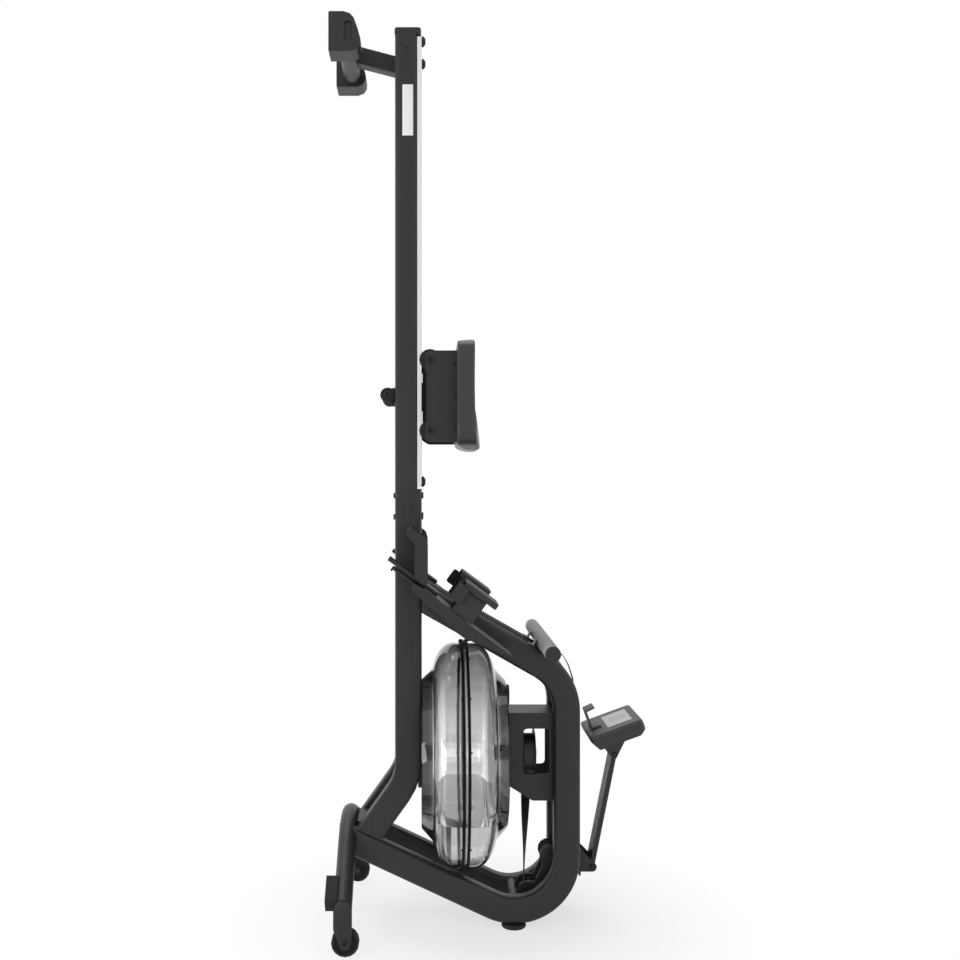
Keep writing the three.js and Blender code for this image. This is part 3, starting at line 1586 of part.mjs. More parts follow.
// Footrests: board, heel cup on its slider, toe strap and buckle
const boardShares = [
  [0.03, -0.51], [0.21, -0.71], [0.42, -0.91], [0.61, -1], [0.7, -0.86], [1, -0.1], [1, 0],
  [0.55, 0.01], [0.14, 0.16], [0, 0],
];
const boardCornerShares = [1.8, 4, 8, 6, 2, 0.2, 0.2, 6, 6, 1.6]; // of the skin
const cupShares = [[1, 0], [1, 1], [0.855, 1.16], [-0.326, 1.457], [-0.724, 1.297], [0, 1.046], [0, 0.261]];
const footrests = new THREE.Group();
footrests.position.set(boardX, 0, boardZ);
footrests.rotation.y = boardTilt;
machine.add(footrests);
for (const [where, side] of Object.entries(SIDES)) {
  const middle = (boardInner + boardOuter) / 2;
  const points = boardShares.map(([s, n]) => [s * boardLength, n * boardDeep]);
  const radii = boardCornerShares.map((share) => share * boardSkin);
  const body = prism(outline(points, radii), 'y', side * boardInner, side * boardOuter, 2);
  const hollow = prism(
    outline(points.map(([s, n]) => [s, n - boardSkin]), radii),
    'y',
    side * (boardInner + boardSkin),
    side * (boardOuter - boardSkin),
    2,
  );
  const flange = prism(
    outline(
      [
        [flangeStart, -flangeLow],
        [flangeStart + flangeLength, -flangeLow],
        [flangeStart + flangeLength, -flangeHigh * 2],
        [flangeStart, -flangeHigh],
      ],
      flangeCorner,
    ),
    'y',
    side * (frameOuter + seatGap),
    side * (boardInner + boardSkin / 2),
  );
  const tongue = box(
    [-tongueLength, tongueRoot],
    [side * (middle - tongueHalf), side * (middle + tongueHalf)],
    [-tongueLow, 0],
  );
  const lip = box(
    [-tongueLength, tongueLip - tongueLength],
    [side * (middle - tongueHalf), side * (middle + tongueHalf)],
    [-tongueLow - tongueLip, 0],
  );
  footrests.add(piece(`footboard_${where}`, join(cut(body, hollow), flange, tongue, lip), blackPlastic));

  // The cup's wings are built level, then tilted back into the board's frame
  const band = outline(cupShares.map(([x, z]) => [x * cupWing, z * cupHeight]), cupCorner);
  const wings = [side * (boardInner + cupInset), side * (boardOuter - cupInset)];
  const inside = [side * (boardInner + cupInset + cupWall), side * (boardOuter - cupInset - cupWall)];
  const cup = cut(prism(band, 'y', ...wings, 2), prism(band, 'y', ...inside, 2).translate([cupWall, 0, 0]))
    .rotate([0, -THREE.MathUtils.radToDeg(boardTilt), 0])
    .translate([cupForward, 0, cupBase]);
  const slider = box(
    [-sliderTail, sliderReach],
    [side * (middle - sliderHalf), side * (middle + sliderHalf)],
    [sliderLift, sliderLift + sliderThick],
  );
  footrests.add(piece(`heel_cup_${where}`, join(cup, slider), blackPlastic));

  const arch = (inset, skin, low) => {
    const [from, to] = [
      boardInner + inset,
      boardOuter - inset,
    ].sort((a, b) => side * a - side * b).map((y) => side * y);
    const outer = outline(
      [[from, low], [to, low], [to, strapRise], [from, strapRise]],
      [0, 0, strapCorner, strapCorner],
    );
    const inner = outline(
      [
        [from + skin, low - overrun],
        [to - skin, low - overrun],
        [to - skin, strapRise - skin],
        [from + skin, strapRise - skin],
      ],
      [0, 0, strapCorner, strapCorner],
    );
    return [outer, inner];
  };
  const lengthways = (shape, from, length) => prism(shape, 'x', from, from + length, 3);
  const [bandOuter, bandInner] = arch(strapInset, strapSkin, strapSeat);
  const [padOuterShape, padInnerShape] = arch(strapInset - padSkin / 2, padSkin, strapRise - padDrop);
  const strapBody = cut(
    lengthways(bandOuter, strapLow, strapBand),
    lengthways(bandInner, strapLow - overrun, strapBand + 2 * overrun),
  );
  const pad = cut(
    lengthways(padOuterShape, padLow, padBand),
    lengthways(padInnerShape, padLow - overrun, padBand + 2 * overrun),
  );
  footrests.add(piece(`toe_strap_${where}`, join(strapBody, pad), webbing));

  const face = boardOuter - strapInset + padSkin / 2;
  const buckle = prism(
    block(
      buckleBand,
      buckleHeight,
      buckleCorner,
      buckleLow + buckleBand / 2,
      buckleFrom + buckleHeight / 2,
    ),
    'y',
    side * (face + seatGap),
    side * (face + seatGap + buckleThick),
    2,
  );
  footrests.add(piece(`toe_buckle_${where}`, buckle, blackPlastic));
}

// Mast bracket on the front tubes, and the mast that folds down on its pin
const earFrom = mastHalf + mastEarGap;
{
  const back = frontTubeX + halfTube + seatGap;
  const base = box([back, back + mastBase], [-mastBaseHalf, mastBaseHalf], [mastBaseLow, mastBaseHigh]);
  const ear = new THREE.Shape();
  ear.moveTo(back, mastBaseLow);
  ear.lineTo(back, mastBaseHigh);
  ear.lineTo(mastPivotX + mastLobe * Math.cos(mastEarSlope), mastPivotZ + mastLobe * Math.sin(mastEarSlope));
  ear.absarc(mastPivotX, mastPivotZ, mastLobe, mastEarSlope, -Math.PI / 2, true);
  ear.closePath();
  const ears = [-1, 1].map((way) => prism(ear, 'y', way * earFrom, way * (earFrom + mastEar), 4));
  const pin = rod(
    'y',
    mastPin,
    [mastPivotX, mastPivotZ],
    -earFrom - mastEar - mastPinHead,
    earFrom + mastEar + mastPinHead,
    12,
  );
  machine.add(piece('mast_bracket', join(base, ...ears, pin), blackPlastic));
}
{
  const lean = Math.atan2(mastTopX - mastPivotX, mastTopZ - mastPivotZ);
  const length = Math.hypot(mastTopX - mastPivotX, mastTopZ - mastPivotZ);
  const mast = new THREE.Group();
  mast.position.set(mastPivotX, 0, mastPivotZ);
  mast.rotation.y = lean;
  const side = block(mastThick, length + 2 * mastRound, mastRound, 0, length / 2);
  const bar = prism(side, 'y', -mastHalf, mastHalf);
  const hollow = box(
    [-mastThick / 2 + mastWall, mastThick / 2 - mastWall],
    [-mastHalf - overrun, mastHalf + overrun],
    [mastRound, length - mastRound],
  );
  const lower = rod('y', mastPin + axleFit, [0, 0], -mastHalf - overrun, mastHalf + overrun, 12);
  const upper = rod(
    'y',
    mastPin,
    [0, length],
    -earFrom - consoleLug - mastPinHead,
    earFrom + consoleLug + mastPinHead,
    12,
  );
  const webs = box([-mastThick / 2, mastThick / 2], [-mastHalf, mastHalf], [-mastRound, length + mastRound]);
  const skins = [-1, 1].map((way) => box(
    [-mastThick / 2 + weldReach, mastThick / 2 - weldReach],
    [way * (mastHalf - mastWall), way * mastHalf],
    [mastRound / 2, length - mastRound / 2],
  ));
  mast.add(piece('mast', cut(join(cut(bar, hollow).intersect(webs), skins[0], upper), lower), paint));
  machine.add(mast);
}

// Console: housing with lugs on the mast's pin, display glass and phone holder
const consoleShares = [[0, 1], [0.984, 1], [1, 0.738], [1, 0.303], [0.869, 0], [0.103, 0], [0, 0.656]];
{
  const head = new THREE.Group();
  head.position.set(mastTopX, 0, mastTopZ);
  head.rotation.y = -consoleTilt;
  machine.add(head);
  const side = outline(consoleShares.map(([x, z]) => [
    THREE.MathUtils.lerp(consoleLow, consoleHigh, x),
    THREE.MathUtils.lerp(consoleBack, consoleFace, z),
  ]), consoleCorner);
  const length = consoleHigh - consoleLow;
  const plan = block(length, 2 * consoleHalf, consolePlanCorner, consoleLow + length / 2, 0);
  const shell = prism(side, 'y', -consoleHalf, consoleHalf, 3).intersect(
    prism(plan, 'z', consoleBack - overrun, consoleFace + overrun, 3),
  );
  const well = box(
    [displayLow, displayLow + displayLength],
    [-displayHalf, displayHalf],
    [consoleFace - displaySink, consoleFace + overrun],
  );
  const lug = outline(
    [
      [-mastLobe, 0],
      [0, -mastLobe],
      [mastLobe, 0],
      [consoleLugTop, consoleBack + weldReach],
      [-mastLobe * 2, consoleBack + weldReach],
    ],
    [mastLobe / 2, mastLobe / 2, mastLobe / 2, 0, 0],
  );
  const lugs = [-1, 1].map((way) => prism(lug, 'y', way * earFrom, way * (earFrom + consoleLug)));
  const bore = rod('y', mastPin + axleFit, [0, 0], -consoleHalf, consoleHalf, 12);
  head.add(piece('console_housing', cut(join(shell, ...lugs), well, bore), blackPlastic));
  const panel = displayHalf - seatGap;
  const glassPane = box(
    [displayLow + seatGap, displayLow + displayLength - seatGap],
    [-panel, panel],
    [consoleFace - displaySink + seatGap, consoleFace - displaySink + seatGap + displayThick],
  );
  head.add(piece('console_display', glassPane, glass));
  const wall = outline([
    [holderLow, 0], [holderLow + holderDeep, 0], [holderLow + holderDeep, holderWall],
    [holderLow + holderWall, holderWall],
    [holderLow + holderWall, holderRise - holderWall],
    [holderLow + holderDeep, holderRise - holderWall + holderLip / 3],
    [holderLow + holderDeep, holderRise + holderLip / 3], [holderLow, holderRise],
  ], holderCorner);
  head.add(piece(
    'phone_holder',
    prism(wall, 'y', -holderHalf, holderHalf).translate([0, 0, consoleFace + seatGap]),
    blackPlastic,
  ));
}

// The origin lies on the storage floor, in the middle of the machine's outline
const footprint = new THREE.Box3().setFromObject(machine, true);
machine.position.x = -(footprint.min.x + footprint.max.x) / 2;

export default machine;
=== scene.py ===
# %% [markdown]
# # A water rowing machine, parked upright
#
# The real machine stands on two wheels and two rubber feet with its rail pointing up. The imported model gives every
# piece its place, so this script starts by loading it. All lengths are metres, +Z runs up the rail, and the
# photograph looks along +Y.

# %% Load the frame
import math

import bpy
from mathutils import Matrix, Vector
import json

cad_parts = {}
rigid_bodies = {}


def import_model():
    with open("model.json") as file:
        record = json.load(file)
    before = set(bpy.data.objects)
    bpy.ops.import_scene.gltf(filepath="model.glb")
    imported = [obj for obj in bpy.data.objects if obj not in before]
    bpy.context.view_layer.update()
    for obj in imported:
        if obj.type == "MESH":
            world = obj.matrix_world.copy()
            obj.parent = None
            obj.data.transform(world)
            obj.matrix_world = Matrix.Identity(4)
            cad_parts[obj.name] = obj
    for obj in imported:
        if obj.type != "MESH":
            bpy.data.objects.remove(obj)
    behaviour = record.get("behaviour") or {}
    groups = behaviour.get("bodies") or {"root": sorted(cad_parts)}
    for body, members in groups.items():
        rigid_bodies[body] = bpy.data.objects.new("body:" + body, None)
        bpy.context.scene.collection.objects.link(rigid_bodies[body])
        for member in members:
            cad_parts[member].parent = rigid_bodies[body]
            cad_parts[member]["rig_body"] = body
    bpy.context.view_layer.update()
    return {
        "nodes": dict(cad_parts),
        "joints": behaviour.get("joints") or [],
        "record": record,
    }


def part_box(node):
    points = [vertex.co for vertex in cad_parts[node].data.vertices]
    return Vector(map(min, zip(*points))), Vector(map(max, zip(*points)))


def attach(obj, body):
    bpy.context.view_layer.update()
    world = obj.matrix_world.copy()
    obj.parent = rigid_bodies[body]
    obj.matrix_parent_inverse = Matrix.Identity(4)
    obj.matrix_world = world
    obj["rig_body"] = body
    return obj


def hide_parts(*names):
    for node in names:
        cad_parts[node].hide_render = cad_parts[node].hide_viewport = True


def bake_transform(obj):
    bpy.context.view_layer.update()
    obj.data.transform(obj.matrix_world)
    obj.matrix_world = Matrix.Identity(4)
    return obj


for leftover in list(bpy.data.objects):
    bpy.data.objects.remove(leftover)
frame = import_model()
MM = 0.001
PIVOTS = {joint["name"]: Vector(joint["pos_m"]) for joint in frame["joints"] if "pos_m" in joint}


def middle(node):
    low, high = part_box(node)
    return (low + high) / 2


print("pieces in the frame:", len(frame["nodes"]), "pivots:", len(PIVOTS))

# %% [markdown]
# ## Camera
#
# The photograph was taken from about 2.75 m away, level, at half the machine's height. Its vanishing point lies left
# of the picture's middle. So the lens is shifted a little and not turned, which keeps upright lines upright and level
# lines level, as they are in the picture. The first three values are in pixels.

# %% Camera
PICTURE = 960
FOCAL = 1175
VANISHING_POINT = (426.1, 481)
SENSOR = 36
CAMERA_PLACE = (-0.1412, -2.75, 1.015)
FARTHEST = 60

camera_data = bpy.data.cameras.new("photo_camera")
camera_data.sensor_width = SENSOR
camera_data.lens = SENSOR * FOCAL / PICTURE
camera_data.shift_x = (PICTURE / 2 - VANISHING_POINT[0]) / PICTURE
camera_data.shift_y = (VANISHING_POINT[1] - PICTURE / 2) / PICTURE
camera_data.clip_end = FARTHEST
camera = bpy.data.objects.new("photo_camera", camera_data)
camera.location = CAMERA_PLACE
camera.rotation_euler = (math.pi / 2, 0, 0)
bpy.context.scene.collection.objects.link(camera)
bpy.context.scene.camera = camera
bpy.context.scene.view_settings.view_transform = "Standard"
print("lens", round(camera_data.lens, 1), "mm, shift", round(camera_data.shift_x, 4))

# %% [markdown]
# ## Writing materials as sums
#
# A finish is a few patterns, added, multiplied and fed to one shader. The class below wraps the output of a node, so
# that `0.4 + 0.1 * grain` adds the Math nodes that it needs.


# %% Values
class Value:
    """The output of a shader node. Arithmetic on it adds Math nodes."""

    def __init__(self, recipe, socket):
        self.recipe = recipe
        self.socket = socket

    def maths(self, operation, *inputs):
        return self.recipe.node("Math", {"operation": operation}, dict(enumerate(inputs)))

    def __add__(self, other):
        return self.maths("ADD", self, other)

    def __sub__(self, other):
        return self.maths("SUBTRACT", self, other)

    def __mul__(self, other):
        return self.maths("MULTIPLY", self, other)

    def __rsub__(self, other):
        return self.maths("SUBTRACT", other, self)

    def ramp(self, start, end):
        """0 below start, 1 above end, and a straight climb between them."""
        return self.recipe.node("MapRange", values={"Value": self, 1: start, 2: end, 3: 0.0, 4: 1.0})

    def __abs__(self):
        return self.maths("ABSOLUTE", self)

    def sine(self):
        return self.maths("SINE", self)

    def root(self):
        return self.maths("SQRT", self)

    def least(self, other):
        return self.maths("MINIMUM", self, other)

    def most(self, other):
        return self.maths("MAXIMUM", self, other)

    __radd__ = __add__
    __rmul__ = __mul__


# %% [markdown]
# A recipe puts nodes into a tree and hands back their outputs as values. A finish is the recipe of one material.


# %% Recipes
class Recipe:
    """A node tree that is written as a list of ingredients."""

    def __init__(self, tree):
        self.tree = tree

    def node(self, kind, settings=None, values=None, output=0):
        made = self.tree.nodes.new("ShaderNode" + kind)
        for name, setting in (settings or {}).items():
            setattr(made, name, setting)
        for name, value in (values or {}).items():
            self.feed(made, name, value)
        return Value(self, made.outputs[output])

    def feed(self, made, name, value):
        if isinstance(value, Value):
            self.tree.links.new(value.socket, made.inputs[name])
        else:
            made.inputs[name].default_value = value

    def object_place(self):
        """Where a point lies on its object, in metres, since every piece is at the origin."""
        return self.node("TexCoord", output="Object")

    def noise(self, scale, detail=2, stretch=None):
        """Clouds that are about 1 / scale metres wide."""
        place = self.object_place()
        if stretch:
            place = self.node("Mapping", values={"Vector": place, "Scale": stretch})
        return self.node("TexNoise", values={"Vector": place, "Scale": scale, "Detail": detail})

    def cells(self, scale, feature="F1"):
        """Cells that are about 1 / scale metres wide: the grain of moulds and the pores of foam."""
        return self.node("TexVoronoi", {"feature": feature}, {"Vector": self.object_place(), "Scale": scale})

    def blend(self, share, first, second):
        """A Mix node's colours are its inputs 6 and 7, and its mixed colour is its output 2."""
        return self.node("Mix", {"data_type": "RGBA"}, {0: share, 6: first, 7: second}, output=2)

    def bump(self, height, strength, distance):
        return self.node("Bump", values={"Height": height, "Strength": strength, "Distance": distance})

    def parts(self, vector):
        """The X, Y and Z of a vector."""
        made = self.tree.nodes.new("ShaderNodeSeparateXYZ")
        self.feed(made, "Vector", vector)
        return [Value(self, made.outputs[axis]) for axis in "XYZ"]

    def along(self, direction, start=(0, 0, 0)):
        """How far a point lies from the start in one direction, in metres."""
        x, y, z = self.parts(self.object_place())
        terms = [(value - origin) * way for value, origin, way in zip((x, y, z), start, direction) if way]
        return sum(terms[1:], terms[0])


class Finish(Recipe):
    """A material with one main shader."""

    def __init__(self, name, **values):
        self.material = bpy.data.materials.new(name)
        self.material.use_nodes = True
        super().__init__(self.material.node_tree)
        self.shader = self.tree.nodes["Principled BSDF"]
        self.set(**values)

    def set(self, **values):
        for name, value in values.items():
            self.feed(self.shader, name.replace("_", " "), value)


FADE = 0.3 * MM  # the width of a sharp step from one shade to another


def shade(level, tint=(1, 1, 1)):
    """A grey with a faint tint."""
    return (level * tint[0], level * tint[1], level * tint[2], 1)


# %% [markdown]
# ## The finishes
#
# Powder coat flows out into a faint orange peel. Its proud edges are painted a little lighter: a painted highlight
# that stands for the sheen along them. Moulded plastic carries the spark-eroded grain of its tool. Both are nearly
# black, so the grain and the gloss are what makes them look different from each other.


# %% Painted steel
def powder_coat():
    coat = Finish("powder_coat", Specular_IOR_Level=0.36)
    peel = coat.noise(420, detail=3)
    cloud = coat.noise(14, detail=2)
    # painted highlight: proud edges, found by pointiness, are painted lighter for the sheen along them
    edge = coat.node("NewGeometry", output="Pointiness").ramp(0.52, 0.6)
    cool = (1, 1, 1.03)
    colour = coat.blend(cloud, shade(0.014, cool), shade(0.019, cool))
    coat.set(Base_Color=coat.blend(edge * 0.35, colour, shade(0.06)))
    coat.set(Roughness=0.36 + 0.1 * cloud + 0.06 * peel)
    coat.set(Normal=coat.bump(peel, 0.12, 0.4 * MM))
    return coat.material


# %% Moulded plastics and rubber
PLASTIC_GRAIN = 1400


def moulded_plastic(name="moulded_plastic", dark=0.011, light=0.016, roughness=0.42):
    plastic = Finish(name, Specular_IOR_Level=0.4)
    grain = plastic.cells(PLASTIC_GRAIN)
    cloud = plastic.noise(20)
    plastic.set(Base_Color=plastic.blend(cloud, shade(dark), shade(light)))
    plastic.set(Roughness=roughness + 0.12 * cloud)
    plastic.set(Normal=plastic.bump(grain, 0.14, 0.3 * MM))
    return plastic.material


def soft_rubber(name="soft_rubber", dark=0.008, light=0.02, shine=0.35):
    rubber = Finish(name, Specular_IOR_Level=shine)
    dust = rubber.noise(60, detail=5)
    pores = rubber.noise(1800)
    rubber.set(Base_Color=rubber.blend(dust, shade(dark), shade(light)))
    rubber.set(Roughness=0.68 + 0.2 * dust)
    rubber.set(Normal=rubber.bump(pores, 0.2, 0.3 * MM))
    return rubber.material


# %% [markdown]
# The running track is an aluminium extrusion, drawn along the rail, so its fine lines run along Z.


# %% Bare metals
def drawn_aluminium():
    metal = Finish("drawn_aluminium", Metallic=0.85)
    lines = metal.noise(900, detail=3, stretch=(1, 1, 0.02))
    cool = (1, 1, 1.02)
    metal.set(Base_Color=metal.blend(lines, shade(0.66, cool), shade(0.8, cool)))
    metal.set(Roughness=0.28 + 0.16 * lines)
    metal.set(Normal=metal.bump(lines, 0.08, 0.2 * MM))
    return metal.material


def bright_steel():
    metal = Finish("bright_steel", Metallic=1.0)
    stain = metal.noise(90, detail=4)
    metal.set(Base_Color=metal.blend(stain, shade(0.42), shade(0.6)), Roughness=0.22 + 0.15 * stain)
    return metal.material


# %% [markdown]
# The tank is clear polycarbonate with a smoked tint, moulded in two halves. The tint is strongest in the hubs and the
# flanges, and the wall looks dark where it is seen edge-on. Above and below the tank's middle, from which its heights
# are counted, the wall is painted darker, most of all above: painted dark reflections and painted shade. Water fills
# the lowest third.


# %% Tank and water
TANK_RADIUS = 256 * MM
TANK_JOINT_X = (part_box("tank_lower_shell")[1].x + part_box("tank_upper_shell")[0].x) / 2
TANK_CENTRE = Vector((TANK_JOINT_X, 0, middle("impeller").z))
HUB_SMOKE = (66 * MM, 80 * MM)
# where the painted shade above and below the tank's middle starts and where it is full
PAINTED_SHADE_ABOVE, PAINTED_SHADE_BELOW = (50 * MM, 250 * MM), (100 * MM, 220 * MM)
FLANGE_START, JOINT_FADE = TANK_RADIUS + 0.5 * MM, (0.8 * MM, 1.2 * MM)


def smoked_clear():
    clear = Finish("smoked_polycarbonate", Transmission_Weight=1.0, IOR=1.3)
    haze = clear.noise(18, detail=3)
    run, across, up = clear.parts(clear.object_place())
    off_middle = abs(run - TANK_CENTRE.x)
    up = up - TANK_CENTRE.z
    radius = (across * across + up * up).root()
    hub = off_middle.ramp(*HUB_SMOKE)
    flange = radius.ramp(FLANGE_START, FLANGE_START + FADE) * off_middle.ramp(*JOINT_FADE) * (1 - hub)
    edge_on = clear.node("LayerWeight", values={"Blend": 0.5}, output=1).ramp(0.6, 0.98)
    dark = (hub * 0.8).most(flange * 0.97).most(edge_on * 0.9)
    # painted shade: darker above and below the middle, for the dark reflections at the shoulder and the shade below it
    painted_shade = up.ramp(*PAINTED_SHADE_ABOVE) * 0.95 + (0 - up).ramp(*PAINTED_SHADE_BELOW) * 0.25
    body = clear.blend(haze, shade(0.96), shade(0.99))
    body = clear.blend(painted_shade, body, shade(0.26))
    clear.set(Base_Color=clear.blend(dark, body, shade(0.06)))
    clear.set(Roughness=0.02 + 0.04 * haze)
    return clear.material


def clear_blades():
    """The paddles are clear too, and so thin that only their edges show."""
    blade = Finish("clear_blades", Specular_IOR_Level=0.4)
    haze = blade.noise(30, detail=3)
    blade.set(Base_Color=blade.blend(haze, shade(0.5), shade(0.65)))
    blade.set(Roughness=0.15 + 0.2 * haze, Alpha=0.07 + 0.06 * haze)
    return blade.material


WATER_LINE, SURFACE = 272 * MM, 0.4 * MM


def still_water():
    """The water bends light only a little here. A thin band under its water line is painted dark: painted shade."""
    water = Finish("still_water", Transmission_Weight=1.0, IOR=1.12, Roughness=0.0)
    swirl = water.noise(9)
    # painted shade: a thin dark band just under the water line
    painted_water_line_shade = water.along((0, 0, 1)).ramp(WATER_LINE - 2 * SURFACE, WATER_LINE - SURFACE)
    depth = water.blend(swirl, shade(0.72, (0.98, 1, 1)), shade(0.8, (0.98, 1, 1)))
    water.set(Base_Color=water.blend(painted_water_line_shade * 0.9, depth, shade(0.3)))
    return water.material


# %% [markdown]
# Webbing is a plain weave: ribs across the band with a fine zigzag between them. The pattern reads the band's own
# UV map, where U counts metres along it and V metres across.


# %% Webbing
BOARD_SLOPE = math.radians(36.4)
BOARD_RUN = (math.cos(BOARD_SLOPE), 0, -math.sin(BOARD_SLOPE))
BOARD_UP = (math.sin(BOARD_SLOPE), 0, math.cos(BOARD_SLOPE))
RIB_STEP, THREAD_STEP = 1.6 * MM, 1.1 * MM


def webbing(name="webbing", on_board=False):
    """A band reads its own UV map. The toe straps, which run over a board, read their place on it."""
    cloth = Finish(name, Specular_IOR_Level=0.3, Sheen_Weight=0.2, Roughness=0.82)
    if on_board:
        across = cloth.along(BOARD_RUN)
        along = cloth.along(BOARD_UP) + cloth.along((0, 1, 0))
    else:
        along, across, _ = cloth.parts(cloth.node("TexCoord", output="UV"))
    wave = (along * (math.pi / RIB_STEP)).sine()
    weave = abs(wave) * abs((across * (math.pi / THREAD_STEP) + wave).sine())
    # painted light: the toe straps' webbing is painted lighter than the drive strap's, for the light that falls on
    # them
    dark, light = (0.02, 0.06) if on_board else (0.006, 0.024)
    cloth.set(Base_Color=cloth.blend(weave, shade(dark), shade(light)))
    cloth.set(Normal=cloth.bump(weave, 0.5, 0.4 * MM))
    return cloth.material


# %% [markdown]
# The grip is a foam sleeve with open pores. The seat has a skin of moulded foam, pressed against a leather-grained
# tool.


# %% Foams
def grip_foam():
    foam = Finish("grip_foam", Specular_IOR_Level=0.3)
    pores = foam.cells(900)
    cloud = foam.noise(45, detail=4)
    foam.set(Base_Color=foam.blend(cloud, shade(0.27), shade(0.34)))
    foam.set(Roughness=0.82 + 0.1 * cloud, Normal=foam.bump(pores, 0.35, 0.4 * MM))
    return foam.material


def seat_skin():
    skin = Finish("seat_skin", Specular_IOR_Level=0.45, Sheen_Weight=0.08)
    folds = skin.cells(620, "DISTANCE_TO_EDGE").least(0.12) * 8
    cloud = skin.noise(25, detail=3)
    skin.set(Base_Color=skin.blend(cloud, shade(0.02), shade(0.03)))
    skin.set(Roughness=0.28 + 0.12 * cloud, Normal=skin.bump(folds, 0.22, 0.3 * MM))
    return skin.material


# %% [markdown]
# The console leans back on its mast, so the patterns on it are measured from its pivot, along its lid and square to
# it.

# %% Display and label
CONSOLE_PIVOT = PIVOTS["console_tilt"]
CONSOLE_TILT = math.radians(20)
CONSOLE_RUN = (math.cos(CONSOLE_TILT), 0, math.sin(CONSOLE_TILT))
CONSOLE_UP = (-math.sin(CONSOLE_TILT), 0, math.cos(CONSOLE_TILT))
FIELD_MIDDLE, FIELD_REACH, FIELD_HALF, FIELD_FADE = 38 * MM, 18 * MM, 22 * MM, 0.5 * MM
SEAM, SEAM_FADE = 60.5 * MM, (0.7 * MM, 1.1 * MM)


def crystal_display():
    """A pale reflective crystal with a darker field where its figures stand."""
    glass = Finish("crystal_display", Coat_Weight=0.4, Coat_Roughness=0.05)
    film = glass.noise(35, detail=2)
    run = abs(glass.along(CONSOLE_RUN, CONSOLE_PIVOT) - FIELD_MIDDLE)
    side = abs(glass.along((0, 1, 0)))
    off_run = run.ramp(FIELD_REACH, FIELD_REACH + FIELD_FADE)
    off_side = side.ramp(FIELD_HALF, FIELD_HALF + FIELD_FADE)
    field = (1 - off_run) * (1 - off_side)
    paper = glass.blend(film, shade(0.33, (0.95, 1, 0.97)), shade(0.4, (0.95, 1, 0.97)))
    glass.set(Base_Color=glass.blend(field * 0.7, paper, shade(0.2, (0.93, 1, 0.97))))
    glass.set(Roughness=0.25 + 0.1 * film)
    return glass.material


def console_plastic():
    """The housing is two mouldings: a lid with a painted highlight, a dark parting line, and the dark tray below it.
    """
    plastic = Finish("console_plastic")
    grain = plastic.cells(PLASTIC_GRAIN)
    cloud = plastic.noise(20)
    height = plastic.along(CONSOLE_UP, CONSOLE_PIVOT)
    lid = height.ramp(SEAM, SEAM + FADE)
    line = 1 - abs(height - SEAM).ramp(*SEAM_FADE)
    tray = plastic.blend(cloud, shade(0.011), shade(0.016))
    # painted highlight: the lid's lighter grey stands for the light on its upward face
    top = plastic.blend(cloud, shade(0.02), shade(0.03))
    plastic.set(Base_Color=plastic.blend(line, plastic.blend(lid, tray, top), shade(0.002)))
    plastic.set(Roughness=0.4 + 0.12 * cloud, Normal=plastic.bump(grain - 3 * line, 0.14, 0.3 * MM))
    return plastic.material


def white_film():
    film = Finish("white_film")
    grain = film.noise(300)
    film.set(Base_Color=film.blend(grain, shade(0.84), shade(0.9)), Roughness=0.3 + 0.1 * grain)
    return film.material


FINISHES = {
    "paint": powder_coat(),
    "plastic": moulded_plastic(),
    "rubber": soft_rubber(),
    "track": drawn_aluminium(),
    "steel": bright_steel(),
    "tank": smoked_clear(),
    "webbing": webbing(),
    "foam": grip_foam(),
    "display": crystal_display(),
}
SEAT_SKIN = seat_skin()
WATER = still_water()
BLADES = clear_blades()
WHITE_FILM = white_film()
CONSOLE_PLASTIC = console_plastic()
GREY_PLASTIC = moulded_plastic("grey_plastic", dark=0.05, light=0.07)
GASKET = soft_rubber("gasket", dark=0.002, light=0.005, shine=0.12)
print("finishes:", len(bpy.data.materials))


# %% [markdown]
# ## From solids to pieces
#
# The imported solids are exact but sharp. Real tubes, mouldings and bolts have broken edges that catch the light. So a
# copy of each solid is merged, cleaned, bevelled by a fraction of a millimetre and shaded smooth, and the copy stands
# for the solid.

# %% Helpers for pieces
SMOOTH_ANGLE = math.radians(50)
MERGE = 1e-5
SLOT_OF = {part["node"]: part["material_slot"] for part in frame["record"]["subparts"]}


def pick(piece):
    bpy.ops.object.select_all(action="DESELECT")
    piece.select_set(True)
    bpy.context.view_layer.objects.active = piece


def editing(piece, *steps):
    """Runs edit mode operators on all of a piece."""
    pick(piece)
    bpy.ops.object.mode_set(mode="EDIT")
    bpy.ops.mesh.select_mode(type="VERT")
    bpy.ops.mesh.select_all(action="SELECT")
    for step in steps:
        step()
    bpy.ops.object.mode_set(mode="OBJECT")


def apply(piece, kind, **settings):
    modifier = piece.modifiers.new(kind.lower(), kind)
    for name, value in settings.items():
        setattr(modifier, name, value)
    pick(piece)
    bpy.ops.object.modifier_apply(modifier=modifier.name)


def copy_of(node, name):
    """A merged copy of a solid, with its flat faces whole again."""
    piece = bpy.data.objects.new(name, frame["nodes"][node].data.copy())
    bpy.context.scene.collection.objects.link(piece)
    piece.data.materials.clear()
    editing(
        piece,
        lambda: bpy.ops.mesh.remove_doubles(threshold=MERGE),
        lambda: bpy.ops.mesh.dissolve_limited(angle_limit=math.radians(0.5)),
    )
    return piece


def smooth(piece, angle=SMOOTH_ANGLE):
    pick(piece)
    bpy.ops.object.shade_smooth_by_angle(angle=angle)


# %% [markdown]
# A finished piece takes the place of its solid: the solid is hidden, and the piece gets the body that carries it and,
# unless it is given one, the finish of the solid's slot.


